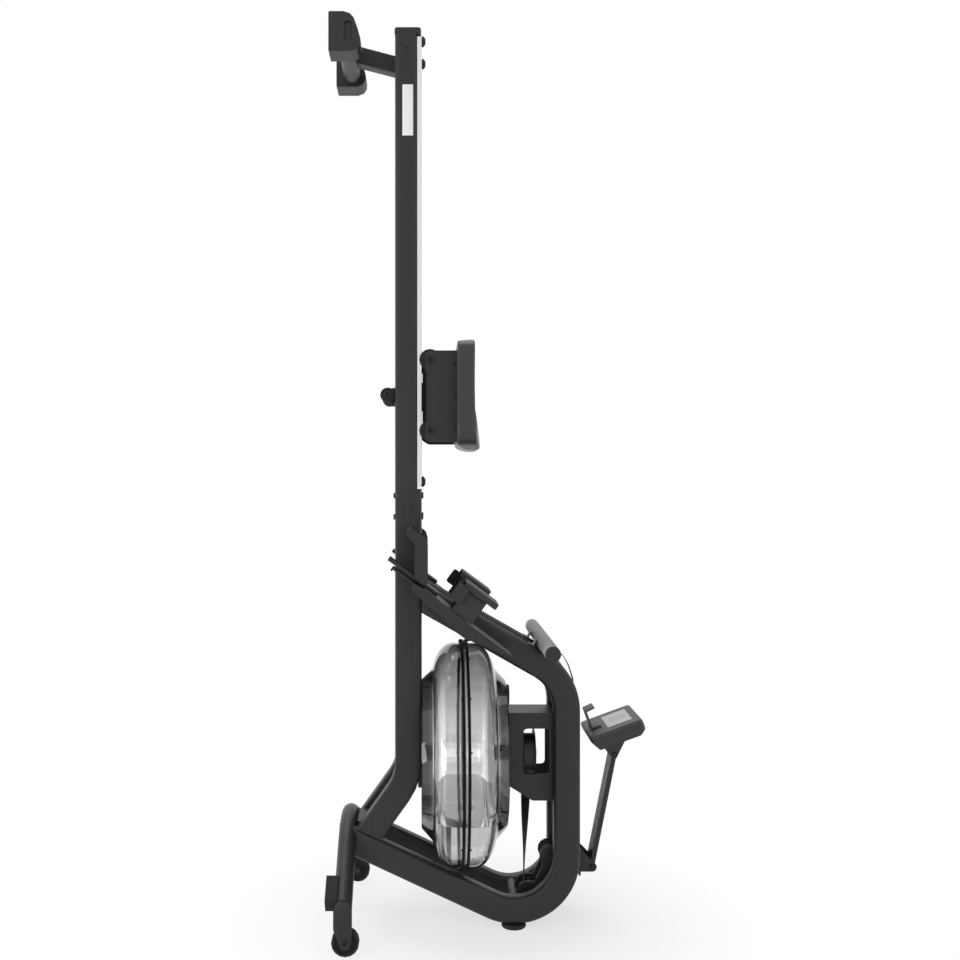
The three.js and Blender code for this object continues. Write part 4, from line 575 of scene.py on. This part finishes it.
# %% Handing pieces over
def stand_in(piece, node, finish=None):
    """The piece replaces a node of the frame, which is hidden, and takes its body and, unless given one, its slot's
    finish.
    """
    piece.data.materials.clear()
    piece.data.materials.append(finish or FINISHES[SLOT_OF[node]])
    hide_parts(node)
    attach(piece, frame["nodes"][node]["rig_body"])
    return piece


def extra(piece, body, finish):
    """A piece that the frame has no node for."""
    piece.data.materials.clear()
    piece.data.materials.append(finish)
    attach(piece, body)
    return piece


def broken_edges(node, width, finish=None):
    """A copy of a solid with bevelled edges, and normals that keep its flat faces flat."""
    piece = copy_of(node, node + "_piece")
    apply(piece, "BEVEL", width=width, segments=2, limit_method="ANGLE", angle_limit=SMOOTH_ANGLE)
    smooth(piece)
    apply(piece, "WEIGHTED_NORMAL", keep_sharp=True)
    return stand_in(piece, node, finish)


# %% [markdown]
# New pieces start as a few points with edges or faces between them, or as a box.


# %% Pieces from points and boxes
def mesh_piece(name, points, edges=(), faces=()):
    mesh = bpy.data.meshes.new(name)
    mesh.from_pydata([tuple(point) for point in points], edges, faces)
    piece = bpy.data.objects.new(name, mesh)
    bpy.context.scene.collection.objects.link(piece)
    return piece


def closed(points):
    """The edges that join points in a ring."""
    return [(i, (i + 1) % len(points)) for i in range(len(points))]


def slab(name, low, high, edge, segments):
    """A box between two corners, with rounded edges."""
    low, high = Vector(low), Vector(high)
    bpy.ops.mesh.primitive_cube_add(size=1)
    piece = bpy.context.object
    piece.name = name
    piece.matrix_world = Matrix.LocRotScale((low + high) / 2, None, high - low)
    pick(piece)
    bpy.ops.object.transform_apply(location=True, rotation=True, scale=True)
    apply(piece, "BEVEL", width=edge, segments=segments)
    smooth(piece)
    return piece


# %% [markdown]
# ## Bodies that are turned on a lathe
#
# A profile of radius and height is drawn as a chain of edges and spun round an axis, which is how these pieces were
# moulded or turned.


# %% Spun pieces
AXES = {"x": Vector((1, 0, 0)), "y": Vector((0, 1, 0)), "z": Vector((0, 0, 1))}
OUTWARD = {"x": "y", "y": "z"}


def spun(name, profile, axis, centre, steps=96):
    """profile holds pairs of radius and place along the axis, in metres, and closes on itself."""
    way, out = AXES[axis], AXES[OUTWARD[axis]]
    centre = Vector(centre)
    piece = mesh_piece(name, [centre + out * r + way * h for r, h in profile], edges=closed(profile))
    editing(
        piece,
        lambda: bpy.ops.mesh.spin(steps=steps, dupli=False, angle=2 * math.pi, center=centre, axis=way),
        lambda: bpy.ops.mesh.select_all(action="SELECT"),
        lambda: bpy.ops.mesh.remove_doubles(threshold=MERGE),
        lambda: bpy.ops.mesh.dissolve_degenerate(threshold=MERGE),
        lambda: bpy.ops.mesh.select_all(action="SELECT"),
        lambda: bpy.ops.mesh.normals_make_consistent(inside=False),
    )
    return piece


# %% [markdown]
# ## Tank
#
# Each half is a flat rim, an elliptical shoulder and a cone up to its flat hub. The wall is 4 mm. The profile is the
# frame's own, drawn with more steps, so that light bends smoothly through it.

# %% Tank halves
TANK_WALL, RIM_HEIGHT = 4 * MM, 23 * MM
SHOULDER, SHOULDER_REACH = 50 * MM, 76 * MM
HUB_FOOT, HUB_RADIUS, HUB_HEIGHT = 196 * MM, 170 * MM, 97.3 * MM
FLANGE, FLANGE_THICK, PARTING = 8 * MM, 2.5 * MM, 0.15 * MM
SHAFT_BORE, BEARING, BEARING_DEPTH = 9.4 * MM, 18 * MM, 12 * MM
BOSS_RADIUS, BORE_FLOOR, PINHOLE = 40 * MM, 0.3 * MM, 0.1 * MM


def wall_line(inset, flat, steps=12):
    """Half a tank's outline, from its rim to the edge of its hub, at an inset from the outer face."""
    line = [(TANK_RADIUS - inset, flat)]
    for i in range(steps + 1):
        angle = math.pi / 2 * i / steps
        r = TANK_RADIUS - SHOULDER_REACH + (SHOULDER_REACH - inset) * math.cos(angle)
        if r > HUB_FOOT - inset:
            line.append((r, RIM_HEIGHT + (SHOULDER - inset) * math.sin(angle)))
    line.append((HUB_FOOT - inset, RIM_HEIGHT + SHOULDER - inset))
    line.append((HUB_RADIUS - inset, HUB_HEIGHT - inset))
    return line


def tank_half(node, way):
    """The lower half has a blind bearing in its lid, the upper one an open boss for the shaft."""
    lid = HUB_HEIGHT - TANK_WALL
    low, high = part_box(node)
    reach = abs((low if way < 0 else high).x - TANK_CENTRE.x)
    outside = wall_line(0, PARTING + FLANGE_THICK)
    inside = wall_line(TANK_WALL, PARTING)
    flange = [(TANK_RADIUS + FLANGE, PARTING), (TANK_RADIUS + FLANGE, PARTING + FLANGE_THICK)]
    bearing = [(SHAFT_BORE, lid - BEARING_DEPTH), (BEARING, lid - BEARING_DEPTH), (BEARING, lid)]
    if way < 0:
        hub = [(PINHOLE, HUB_HEIGHT), (PINHOLE, lid - BORE_FLOOR), (SHAFT_BORE, lid - BORE_FLOOR)]
    else:
        hub = [(BOSS_RADIUS, HUB_HEIGHT), (BOSS_RADIUS, reach), (SHAFT_BORE, reach)]
    line = inside + bearing[::-1] + hub[::-1] + outside[::-1] + flange[::-1]
    piece = spun(node + "_piece", [(r, way * h) for r, h in line], "x", TANK_CENTRE)
    smooth(piece, math.radians(35))
    return stand_in(piece, node)


tank_halves = [tank_half("tank_lower_shell", -1), tank_half("tank_upper_shell", 1)]
print("tank radius", TANK_RADIUS, "faces", [len(half.data.polygons) for half in tank_halves])

# %% [markdown]
# ## Clamp rings
#
# The rims of the two halves are squeezed between two black rings. Small screws stand out of the rings all the way
# round. Each ring is spun, and its screws are added as cylinders and joined on.

# %% Clamp rings
RING_OUTSIDE, RING_DEPTH, RING_EDGE = TANK_RADIUS + FLANGE, 3.7 * MM, 0.6 * MM
RING_INSIDE = RING_OUTSIDE - RING_DEPTH
RING_SCREWS, SCREW_RADIUS, SCREW_PROUD = 14, 1.7 * MM, 3 * MM


def clamp_ring(node):
    """A ring with its screws, on the side of the joint where the solid lies."""
    low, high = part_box(node)
    way = 1 if low.x > TANK_CENTRE.x else -1
    inner, outer = sorted((abs(low.x - TANK_CENTRE.x), abs(high.x - TANK_CENTRE.x)))
    profile = [
        (RING_INSIDE, inner), (RING_OUTSIDE, inner), (RING_OUTSIDE, outer - RING_EDGE),
        (RING_OUTSIDE - RING_EDGE, outer), (RING_INSIDE, outer),
    ]
    ring = spun(node + "_piece", [(r, way * h) for r, h in profile], "x", TANK_CENTRE)
    screws = []
    for i in range(RING_SCREWS):
        angle = math.tau * (i + 0.5) / RING_SCREWS
        reach = RING_OUTSIDE - SCREW_RADIUS
        bpy.ops.mesh.primitive_cylinder_add(
            vertices=10,
            radius=SCREW_RADIUS,
            depth=outer - inner + SCREW_PROUD,
            location=(
                TANK_CENTRE.x + way * (inner + outer + SCREW_PROUD) / 2,
                reach * math.cos(angle),
                TANK_CENTRE.z + reach * math.sin(angle),
            ),
            rotation=(0, math.pi / 2, 0),
        )
        screws.append(bpy.context.object)
    pick(ring)
    for screw in screws:
        screw.select_set(True)
    bpy.ops.object.join()
    smooth(ring, math.radians(40))
    return stand_in(ring, node, GASKET)


rings = [clamp_ring("tank_ring_lower"), clamp_ring("tank_ring_upper")]
print("ring faces", len(rings[0].data.polygons))

# %% [markdown]
# ## Water
#
# The water fills the lowest third of the tank. Its shape is the inside of the shell, a hair smaller, cut off at the
# water line.

# %% Water
WATER_GAP, WATER_CORE = 0.6 * MM, 60 * MM
upper_line = wall_line(TANK_WALL + WATER_GAP, 0)[1:] + [(WATER_CORE, HUB_HEIGHT - TANK_WALL - WATER_GAP)]
lower_line = [(r, -h) for r, h in reversed(upper_line)]
water = spun("tank_water", lower_line + upper_line, "x", TANK_CENTRE)
editing(
    water,
    lambda: bpy.ops.mesh.bisect(
        plane_co=(TANK_CENTRE.x, 0, WATER_LINE), plane_no=(0, 0, 1), use_fill=True, clear_outer=True
    ),
    lambda: bpy.ops.mesh.select_all(action="SELECT"),
    lambda: bpy.ops.mesh.normals_make_consistent(inside=False),
)
smooth(water, math.radians(35))
extra(water, "frame", WATER)
print("water faces", len(water.data.polygons))

# %% [markdown]
# ## Seat
#
# The pad is one block of moulded foam: crowned where it carries the rower, with its long edges rolled over. A copy of
# the solid is remeshed into even faces and smoothed until its corners are as round as foam leaves them.

# %% Seat pad
SEAT_VOXEL = 2.5 * MM
seat = copy_of("seat_pad", "seat_pad_piece")
apply(seat, "REMESH", mode="VOXEL", voxel_size=SEAT_VOXEL)
apply(seat, "SMOOTH", factor=0.5, iterations=4)


def draw_out(piece, low, high):
    """Smoothing draws a shape in a little, so it's drawn out again to its solid's box."""
    corners = [Vector(corner) for corner in piece.bound_box]
    inner = Vector([min(corner[axis] for corner in corners) for axis in range(3)])
    outer = Vector([max(corner[axis] for corner in corners) for axis in range(3)])
    stretch = [(high[axis] - low[axis]) / (outer[axis] - inner[axis]) for axis in range(3)]
    shift = (low + high) / 2 - (inner + outer) / 2
    editing(
        piece,
        lambda: bpy.ops.transform.translate(value=shift),
        lambda: bpy.ops.transform.resize(value=stretch, center_override=(low + high) / 2),
    )
    print("drawn out by", [round(share, 3) for share in stretch])


draw_out(seat, *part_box("seat_pad"))
smooth(seat, math.radians(80))
stand_in(seat, "seat_pad", SEAT_SKIN)
print("seat faces", len(seat.data.polygons))

# %% [markdown]
# ## Drive strap
#
# The strap leaves the reel flat against it, turns a quarter turn on its way down, runs round two idlers and over the
# guide roller, and hangs slack to the handle. It is a ribbon through stations, each with a point and the way across.

# %% Ribbon helper
STRAP_WIDTH, STRAP_THICK = 22 * MM, 1.6 * MM
STRAP_OFFSET = 1.1 * MM


def ribbon(name, stations, width, thick):
    """Each station is a point of the middle line and the way across the band there."""
    points, faces, along, uvs = [], [], 0, []
    for i, (point, across) in enumerate(stations):
        ahead = stations[min(i + 1, len(stations) - 1)][0] - stations[max(i - 1, 0)][0]
        normal = ahead.cross(across).normalized()
        if i:
            along += (point - stations[i - 1][0]).length
        for a, b in ((-1, -1), (1, -1), (1, 1), (-1, 1)):
            points.append(point + across * (a * width / 2) + normal * (b * thick / 2))
            uvs.append((along, a * width / 2))
    for i in range(len(stations) - 1):
        for k in range(4):
            near, far = 4 * i + k, 4 * i + (k + 1) % 4
            faces.append((near, far, far + 4, near + 4))
    last = 4 * (len(stations) - 1)
    faces += [(3, 2, 1, 0), (last, last + 1, last + 2, last + 3)]
    piece = mesh_piece(name, points, faces=faces)
    layer = piece.data.uv_layers.new(name="band")
    for loop in piece.data.loops:
        layer.data[loop.index].uv = uvs[loop.vertex_index]
    editing(piece, lambda: bpy.ops.mesh.normals_make_consistent(inside=False))
    smooth(piece)
    return piece


def arc(centre, radius, start, end, step=math.radians(8)):
    """Points round a roller, seen from the side."""
    count = max(1, math.ceil(abs(end - start) / step))
    angles = [start + (end - start) * i / count for i in range(count + 1)]
    return [centre + Vector((radius * math.cos(a), 0, radius * math.sin(a))) for a in angles]


def touching_angle(first, second):
    """Where a strap that touches two rollers on their right leaves the first one."""
    step = second["centre"] - first["centre"]
    wedge = math.acos((first["radius"] - second["radius"]) / math.hypot(step.x, step.z))
    return math.atan2(step.z, step.x) - wedge


# %% The strap from the reel to the guide roller
SIDEWAYS = Vector((0, -1, 0))
TWIST_CLEAR, TWIST_STEPS = 34 * MM, 24
DRUM = 46 * MM + STRAP_OFFSET
ROLLER_RADII = {"idler_lower": 12 * MM, "idler_upper": 19 * MM, "guide_roller": 27.5 * MM}
rollers = [{"centre": middle(node), "radius": radius + STRAP_OFFSET} for node, radius in ROLLER_RADII.items()]
touches = [touching_angle(first, second) for first, second in zip(rollers, rollers[1:])]
wraps = []
for roller, begin, end in zip(rollers, [-math.pi, *touches], [*touches, 0]):
    wraps += arc(roller["centre"], roller["radius"], begin, end)
reel = middle("strap_reel")
leave = math.asin(DRUM / (reel.z - rollers[0]["centre"].z - TWIST_CLEAR))
start = Vector((reel.x, DRUM * math.cos(leave), reel.z - DRUM * math.sin(leave)))
level = wraps[0] + Vector((0, 0, TWIST_CLEAR))
heading = (level - start).normalized()
stations = []
for i in range(TWIST_STEPS + 1):
    share = i / TWIST_STEPS
    angle = math.pi / 2 * share * share * (3 - 2 * share)
    across = Vector((math.cos(angle), -math.sin(angle), 0))
    across = (across - heading * across.dot(heading)).normalized()
    stations.append((start.lerp(level, share), across))
stations += [(point, SIDEWAYS) for point in wraps]
drive_strap = ribbon("drive_strap", stations, STRAP_WIDTH, STRAP_THICK)
stand_in(drive_strap, "strap")
print("drive strap:", len(stations), "stations")

# %% [markdown]
# The slack end runs from the guide roller down to the handle. It hangs through listed points.

# %% The strap's slack end
SLACK_RISE, SLACK_LEAN, SLACK_TURN_Z = 18 * MM, 0.4 * MM, 551.8 * MM
SLACK = [(0.1944, 0.5757), (0.1869, 0.5937), (0.1766, 0.6085)]
TONGUE = 34 * MM
handle_centre = Vector((middle("handle_grip").x, 0, middle("handle_grip").z))
guide = wraps[-1]
way_in = Vector((SLACK[-1][0], 0, SLACK[-1][1])) - handle_centre
tail = handle_centre + way_in.normalized() * TONGUE
controls = [guide, guide + Vector((0, 0, SLACK_RISE)), Vector((guide.x + SLACK_LEAN, 0, SLACK_TURN_Z))]
controls += [Vector((x, 0, z)) for x, z in SLACK] + [tail]


def through(points, steps=8):
    """A smooth line through points, each span bending with its neighbours."""
    line = []
    padded = [2 * points[0] - points[1], *points, 2 * points[-1] - points[-2]]
    for a, b, c, d in zip(padded, padded[1:], padded[2:], padded[3:]):
        for i in range(steps):
            t = i / steps
            bend, twist = 2 * a - 5 * b + 4 * c - d, 3 * b - a - 3 * c + d
            line.append(0.5 * (2 * b + (c - a) * t + bend * t**2 + twist * t**3))
    return line + [points[-1]]


slack_stations = [(point, SIDEWAYS) for point in through(controls)]
slack_strap = ribbon("handle_strap", slack_stations, STRAP_WIDTH, STRAP_THICK)
slack_strap.data.materials.append(FINISHES["webbing"])
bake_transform(slack_strap)
print("handle strap from", tuple(guide), "to", tuple(tail))

# %% [markdown]
# ## Frame loops
#
# Each loop is one length of tube, bent twice on a mandrel. Its section is drawn once, pushed along the straight runs
# and spun through the bends, so that the bends are round from every side. Its two ends are then cut where they meet
# the post and the bow. The lips that hold the handle are taken over from the solid.

# %% A bent tube
TUBE_WIDTH, TUBE_DEPTH, TUBE_CORNER = 60 * MM, 40 * MM, 10 * MM
BEND_RADIUS, BEND_STEPS = 120 * MM, 24
ARM_SLOPE, LOWER_SLOPE = math.radians(29.6), math.radians(24.9)
ARM_RUN, LOWER_RUN = 400 * MM, 420 * MM
ARM_BEND_Z = 492.8 * MM
ARM_END_X = -151.4 * MM
LIP_CLEAR = 0.05 * MM
LEVEL_AXIS = AXES["y"]


def rounded_section(centre, upward, steps=5):
    """The tube's section round a centre: four quarter circles."""
    points = []
    for quarter, (a, b) in enumerate(((1, 1), (-1, 1), (-1, -1), (1, -1))):
        for k in range(steps + 1):
            turn = math.pi / 2 * (quarter + k / steps)
            up = a * (TUBE_WIDTH / 2 - TUBE_CORNER) + TUBE_CORNER * math.cos(turn)
            side = b * (TUBE_DEPTH / 2 - TUBE_CORNER) + TUBE_CORNER * math.sin(turn)
            points.append(centre + upward * up + LEVEL_AXIS * side)
    return points


def push(way):
    """Draws the selected ring of edges out along a straight run."""
    bpy.ops.mesh.extrude_edges_move(TRANSFORM_OT_translate={"value": way})


def turn_round(centre, angle):
    """The spin operator turns the other way round its axis, hence the minus."""
    bpy.ops.mesh.spin(steps=BEND_STEPS, dupli=False, angle=-angle, center=centre, axis=LEVEL_AXIS)


def cut_off(piece, place, above):
    """Cuts what lies left of a place off the part of the piece that is above a height."""
    editing(piece, lambda: bpy.ops.mesh.select_all(action="DESELECT"))
    for vertex in piece.data.vertices:
        vertex.select = vertex.co.z > above
    bpy.ops.object.mode_set(mode="EDIT")
    bpy.ops.mesh.bisect(plane_co=place, plane_no=(1, 0, 0), use_fill=True, clear_inner=True)
    bpy.ops.object.mode_set(mode="OBJECT")


# %% Both loops
LOOPS = ("loop_near", "loop_far")


def frame_loop(node):
    """The footrest arm, the front upright and the lower tube, from the post round to the bow."""
    low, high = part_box(node)
    y = (low.y + high.y) / 2
    reach = BEND_RADIUS + TUBE_WIDTH / 2
    upper = Vector((high.x - reach, y, ARM_BEND_Z))
    lower = Vector((high.x - reach, y, low.z + reach))
    arm_up = Vector((math.sin(ARM_SLOPE), 0, math.cos(ARM_SLOPE)))
    arm_way = Vector((math.cos(ARM_SLOPE), 0, -math.sin(ARM_SLOPE)))
    lower_way = Vector((-math.cos(LOWER_SLOPE), 0, math.sin(LOWER_SLOPE)))
    bend_start = upper + arm_up * BEND_RADIUS
    section = rounded_section(bend_start - arm_way * ARM_RUN, arm_up)
    tube = mesh_piece(node + "_piece", section, edges=closed(section))
    editing(
        tube,
        lambda: push(arm_way * ARM_RUN),
        lambda: turn_round(upper, math.pi / 2 - ARM_SLOPE),
        lambda: push(lower - upper),
        lambda: turn_round(lower, math.pi / 2 + LOWER_SLOPE),
        lambda: push(lower_way * LOWER_RUN),
        lambda: bpy.ops.mesh.select_all(action="SELECT"),
        lambda: bpy.ops.mesh.fill_holes(sides=0),
        lambda: bpy.ops.mesh.normals_make_consistent(inside=False),
    )
    cut_off(tube, (ARM_END_X, 0, 0), ARM_BEND_Z)
    cut_off(tube, (low.x, 0, 0), 0)
    lips = copy_of(node, node + "_lips")
    arm_top = bend_start + arm_up * (TUBE_WIDTH / 2 + LIP_CLEAR)
    editing(
        lips,
        lambda: bpy.ops.mesh.bisect(plane_co=arm_top, plane_no=arm_up, use_fill=True, clear_inner=True),
    )
    pick(tube)
    lips.select_set(True)
    bpy.ops.object.join()
    smooth(tube, math.radians(35))
    return stand_in(tube, node)


for node in LOOPS:
    loop = frame_loop(node)
    reach = [round(max(corner[axis] for corner in loop.bound_box) / MM, 1) for axis in range(3)]
    print(node, "faces", len(loop.data.polygons), "reaches", reach)

# %% [markdown]
# ## Everything else
#
# The other solids have the right shape already, and only their edges are broken: by about half a millimetre on tubes
# and fittings, less on webbing and glass, and more on the soft mouldings that are rounded all over.

# %% Tubes, mouldings and fittings
TANK_NODES = ("tank_lower_shell", "tank_upper_shell", "tank_ring_lower", "tank_ring_upper")
DONE = {*TANK_NODES, *LOOPS, "seat_pad", "strap"}
EDGES = {"paint": 0.6 * MM, "plastic": 0.5 * MM, "rubber": 0.8 * MM, "webbing": 0.3 * MM, "display": 0.2 * MM}
OTHER_EDGE = 0.4 * MM
# painted light: a lighter copy of the webbing, standing for the light on the toe straps
TOE_WEBBING_PAINTED_LIT = webbing("toe_webbing_painted_lit", on_board=True)
OWN_FINISH = {
    "toe_strap_near": TOE_WEBBING_PAINTED_LIT,
    "toe_strap_far": TOE_WEBBING_PAINTED_LIT,
    "impeller": BLADES,
    "console_housing": CONSOLE_PLASTIC,
    "phone_holder": GREY_PLASTIC,
    "rear_foot_near": FINISHES["plastic"],
    "rear_foot_far": FINISHES["plastic"],
}
ROUNDER = {
    "console_housing": 3 * MM,
    "heel_cup_near": 2 * MM,
    "heel_cup_far": 2 * MM,
    "toe_strap_near": 1.5 * MM,
    "toe_strap_far": 1.5 * MM,
}
pieces = {}
for node in frame["nodes"]:
    if node not in DONE:
        edge = ROUNDER.get(node, EDGES.get(SLOT_OF[node], OTHER_EDGE))
        pieces[node] = broken_edges(node, edge, OWN_FINISH.get(node))
print("pieces with broken edges:", len(pieces))

# %% [markdown]
# The buffers at both ends of the running tracks are rubber, so the faces that stand proud of the track get it.

# %% Rubber buffers
BUFFER_RISE = 8.6 * MM
for side in ("near", "far"):
    track = pieces["rail_track_" + side]
    track.data.materials.append(FINISHES["rubber"])
    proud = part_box("rail_track_" + side)[1].x - BUFFER_RISE
    rubber_faces = [face for face in track.data.polygons if face.center.x > proud]
    for face in rubber_faces:
        face.material_index = 1
    print("rubber faces on the", side, "track:", len(rubber_faces))

# %% [markdown]
# ## Bolt heads
#
# Every axle and pivot ends in a low head with a raised rim and a round socket. They are small, but they are what
# shows that these joints are screwed together. The solids have plain ends, and these caps lie on them.

# %% A bolt cap
CAP_RISE, PIN_RISE, CAP_CORE, CAP_GAP = 0.8 * MM, 3.6 * MM, 0.01 * MM, 0.02 * MM
SOCKET = 0.5
AXLE_CAP, WHEEL_CAP, PIVOT_CAP, SCREW_CAP = 8.2 * MM, 6.3 * MM, 6.5 * MM, 2.8 * MM
CARRIAGE_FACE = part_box("seat_carriage")[1].y + CAP_GAP
WHEEL_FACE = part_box("front_stabilizer")[1].y + CAP_GAP
LOWER_AXLE_FACE, EAR_FACE = 89.32 * MM, 34.05 * MM
SEAT_SCREWS_X, SEAT_SCREWS_Z = -76.1 * MM, (1139.6 * MM, 1209 * MM, 1279.6 * MM)


def bolt_cap(name, body, place, radius, way, rise):
    """A cap at a place on a face that looks along Y, towards the near side where way is -1."""
    profile = [
        (CAP_CORE, 0.0), (radius, 0.0), (radius, rise * 0.5), (radius * 0.9, rise), (radius * 0.74, rise),
        (radius * 0.68, rise * 0.35), (radius * SOCKET, rise * 0.35), (radius * SOCKET, rise * 0.9),
        (radius * 0.3, rise * 0.9), (radius * 0.3, rise * 0.1), (CAP_CORE, rise * 0.1),
    ]
    cap = spun(name, [(r, way * h) for r, h in profile], "y", place, steps=24)
    smooth(cap, math.radians(30))
    extra(cap, body, FINISHES["plastic"])
    cap.data.materials.append(GASKET)
    for face in cap.data.polygons:
        depth = way * (face.center.y - place[1])
        face.material_index = int(depth < 0.4 * rise)
    return cap


# %% [markdown]
# The caps of the rollers and wheels follow their axles, and those of the console and its mast follow their pivots.


# %% Every cap
def seen_from_side(point):
    """Only the place along X and Z: each cap's place along Y is that of the face it lies on."""
    return point.x, point.z


caps = []
for side, way in (("near", -1), ("far", 1)):
    low, high, under = "seat_roller_low_" + side, "seat_roller_high_" + side, "seat_lower_roller_" + side
    wheel = middle("transport_wheel_" + side)
    spots = [
        (low, "seat", seen_from_side(middle(low)), CARRIAGE_FACE, AXLE_CAP, CAP_RISE),
        (high, "seat", seen_from_side(middle(high)), CARRIAGE_FACE, AXLE_CAP, CAP_RISE),
        (under, "seat", seen_from_side(middle(under)), LOWER_AXLE_FACE, AXLE_CAP, CAP_RISE),
        ("wheel_" + side, "frame", seen_from_side(wheel), WHEEL_FACE, WHEEL_CAP, CAP_RISE),
        ("console_" + side, "mast", seen_from_side(CONSOLE_PIVOT), EAR_FACE, PIVOT_CAP, PIN_RISE),
        ("mast_" + side, "frame", seen_from_side(PIVOTS["mast_fold"]), EAR_FACE, PIVOT_CAP, PIN_RISE),
    ]
    for z in SEAT_SCREWS_Z:
        name = f"seat_screw_{round(z / MM)}_{side}"
        spots.append((name, "seat", (SEAT_SCREWS_X, z), CARRIAGE_FACE, SCREW_CAP, CAP_RISE))
    for name, body, (x, z), face, radius, rise in spots:
        caps.append(bolt_cap("cap_" + name, body, (x, way * face, z), radius, way, rise))
print("bolt caps:", len(caps))

# %% [markdown]
# A rubber wiper on each side of the carriage runs just over the track, between the rollers, and keeps dust off it.

# %% Track wipers
WIPER_X, WIPER_Z = (-149.4 * MM, -142 * MM), (1148 * MM, 1264 * MM)
WIPER_Y, WIPER_HALF, WIPER_EDGE = 99 * MM, 2.2 * MM, 1.2 * MM
for side, way in (("near", -1), ("far", 1)):
    corners = [(WIPER_X[i], way * WIPER_Y + (2 * i - 1) * WIPER_HALF, WIPER_Z[i]) for i in (0, 1)]
    wiper = slab("wiper_" + side, *corners, edge=WIPER_EDGE, segments=3)
    extra(wiper, "seat", GASKET)
    print(wiper.name, "faces", len(wiper.data.polygons))

# %% [markdown]
# ## Label
#
# A plain white film is stuck on the near rail.

# %% Label
LABEL_X, LABEL_Z = (-0.1948, -0.1706), (1.7966, 1.9121)
LABEL_THICK, LABEL_EDGE = 0.35 * MM, 0.12 * MM
RAIL_FACE = -92 * MM
corners = [(LABEL_X[0], RAIL_FACE - LABEL_THICK, LABEL_Z[0]), (LABEL_X[1], RAIL_FACE, LABEL_Z[1])]
label = slab("rail_label", *corners, edge=LABEL_EDGE, segments=2)
extra(label, "frame", WHITE_FILM)
print("label faces", len(label.data.polygons))

# %% [markdown]
# ## Studio
#
# The floor is white and lit from above, and the air over it is dim, so faces that look up stay dark and faces that
# look down catch the floor. For the camera, in gloss and through the tank, the room is plain white. Near the machine
# the floor keeps a soft shadow.

# %% Floor
FLOOR = 60
SHADOW_REACH = (0.2, 0.62)
SHADOW_VEIL = 0.65


def looked_at(recipe):
    """1 for a ray that comes from the camera, off a shiny face or through the tank."""
    node = recipe.tree.nodes.new("ShaderNodeLightPath")
    camera_ray, glossy_ray, clear_ray = (
        Value(recipe, node.outputs[name]) for name in ("Is Camera Ray", "Is Glossy Ray", "Is Transmission Ray")
    )
    return camera_ray.most(glossy_ray).most(clear_ray)


bpy.ops.mesh.primitive_plane_add(size=FLOOR)
floor = bpy.context.object
floor.name = "studio_floor"
paper = Finish("studio_paper", Base_Color=shade(0.85), Roughness=0.9)
glow = paper.node("Emission", values={"Color": shade(1.0), "Strength": 1.0})
away = paper.node("VectorMath", {"operation": "LENGTH"}, {0: paper.object_place()}, output=1)
veil = SHADOW_VEIL + (1 - SHADOW_VEIL) * away.ramp(*SHADOW_REACH)
mixed = paper.node("MixShader", values={0: looked_at(paper) * veil, 2: glow})
paper.tree.links.new(paper.shader.outputs[0], mixed.socket.node.inputs[1])
paper.tree.links.new(mixed.socket, paper.tree.nodes["Material Output"].inputs["Surface"])
floor.data.materials.append(paper.material)
print("floor", FLOOR, "m wide")

# %% World
AIR_BEHIND, AIR_IN_FRONT, AIR_ABOVE = 0.35, 0.75, 0.45
world = bpy.data.worlds.new("studio")
world.use_nodes = True
bpy.context.scene.world = world
air = Recipe(world.node_tree)
background = world.node_tree.nodes["Background"]
_, ahead, up = air.parts(air.node("TexCoord", output="Generated"))
front = (0.5 - 0.5 * ahead).most(0.0)
gloom = (AIR_BEHIND + AIR_IN_FRONT * front) * (1 - AIR_ABOVE * up.most(0.0))
white = looked_at(air)
air.feed(background, "Strength", white + (1 - white) * gloom)
air.feed(background, "Color", shade(1.0))
print("world nodes", len(world.node_tree.nodes))


# %% Lamps
def lamp(name, place, target, size, power):
    data = bpy.data.lights.new(name, "AREA")
    data.shape = "RECTANGLE"
    data.size, data.size_y = size
    data.energy = power
    light = bpy.data.objects.new(name, data)
    light.location = place
    light.rotation_euler = (Vector(target) - Vector(place)).to_track_quat("-Z", "Y").to_euler()
    bpy.context.scene.collection.objects.link(light)


lamp("overhead", (-0.6, 0.8, 3.6), (0.2, 0, 0), (2.4, 2.4), 45)
lamp("front_left", (-2.4, -2.6, 2.0), (0, 0, 0.9), (1.6, 2.2), 17)
lamp("front_right", (2.6, -2.2, 1.4), (0, 0, 0.8), (1.2, 2.2), 9)
lamp("low_left", (-2.8, -0.4, 0.2), (0, 0, 1.1), (1.6, 1.0), 45)
print("lamps", [light.name for light in bpy.data.lights])

# %% Last update
import json

bpy.context.view_layer.update()
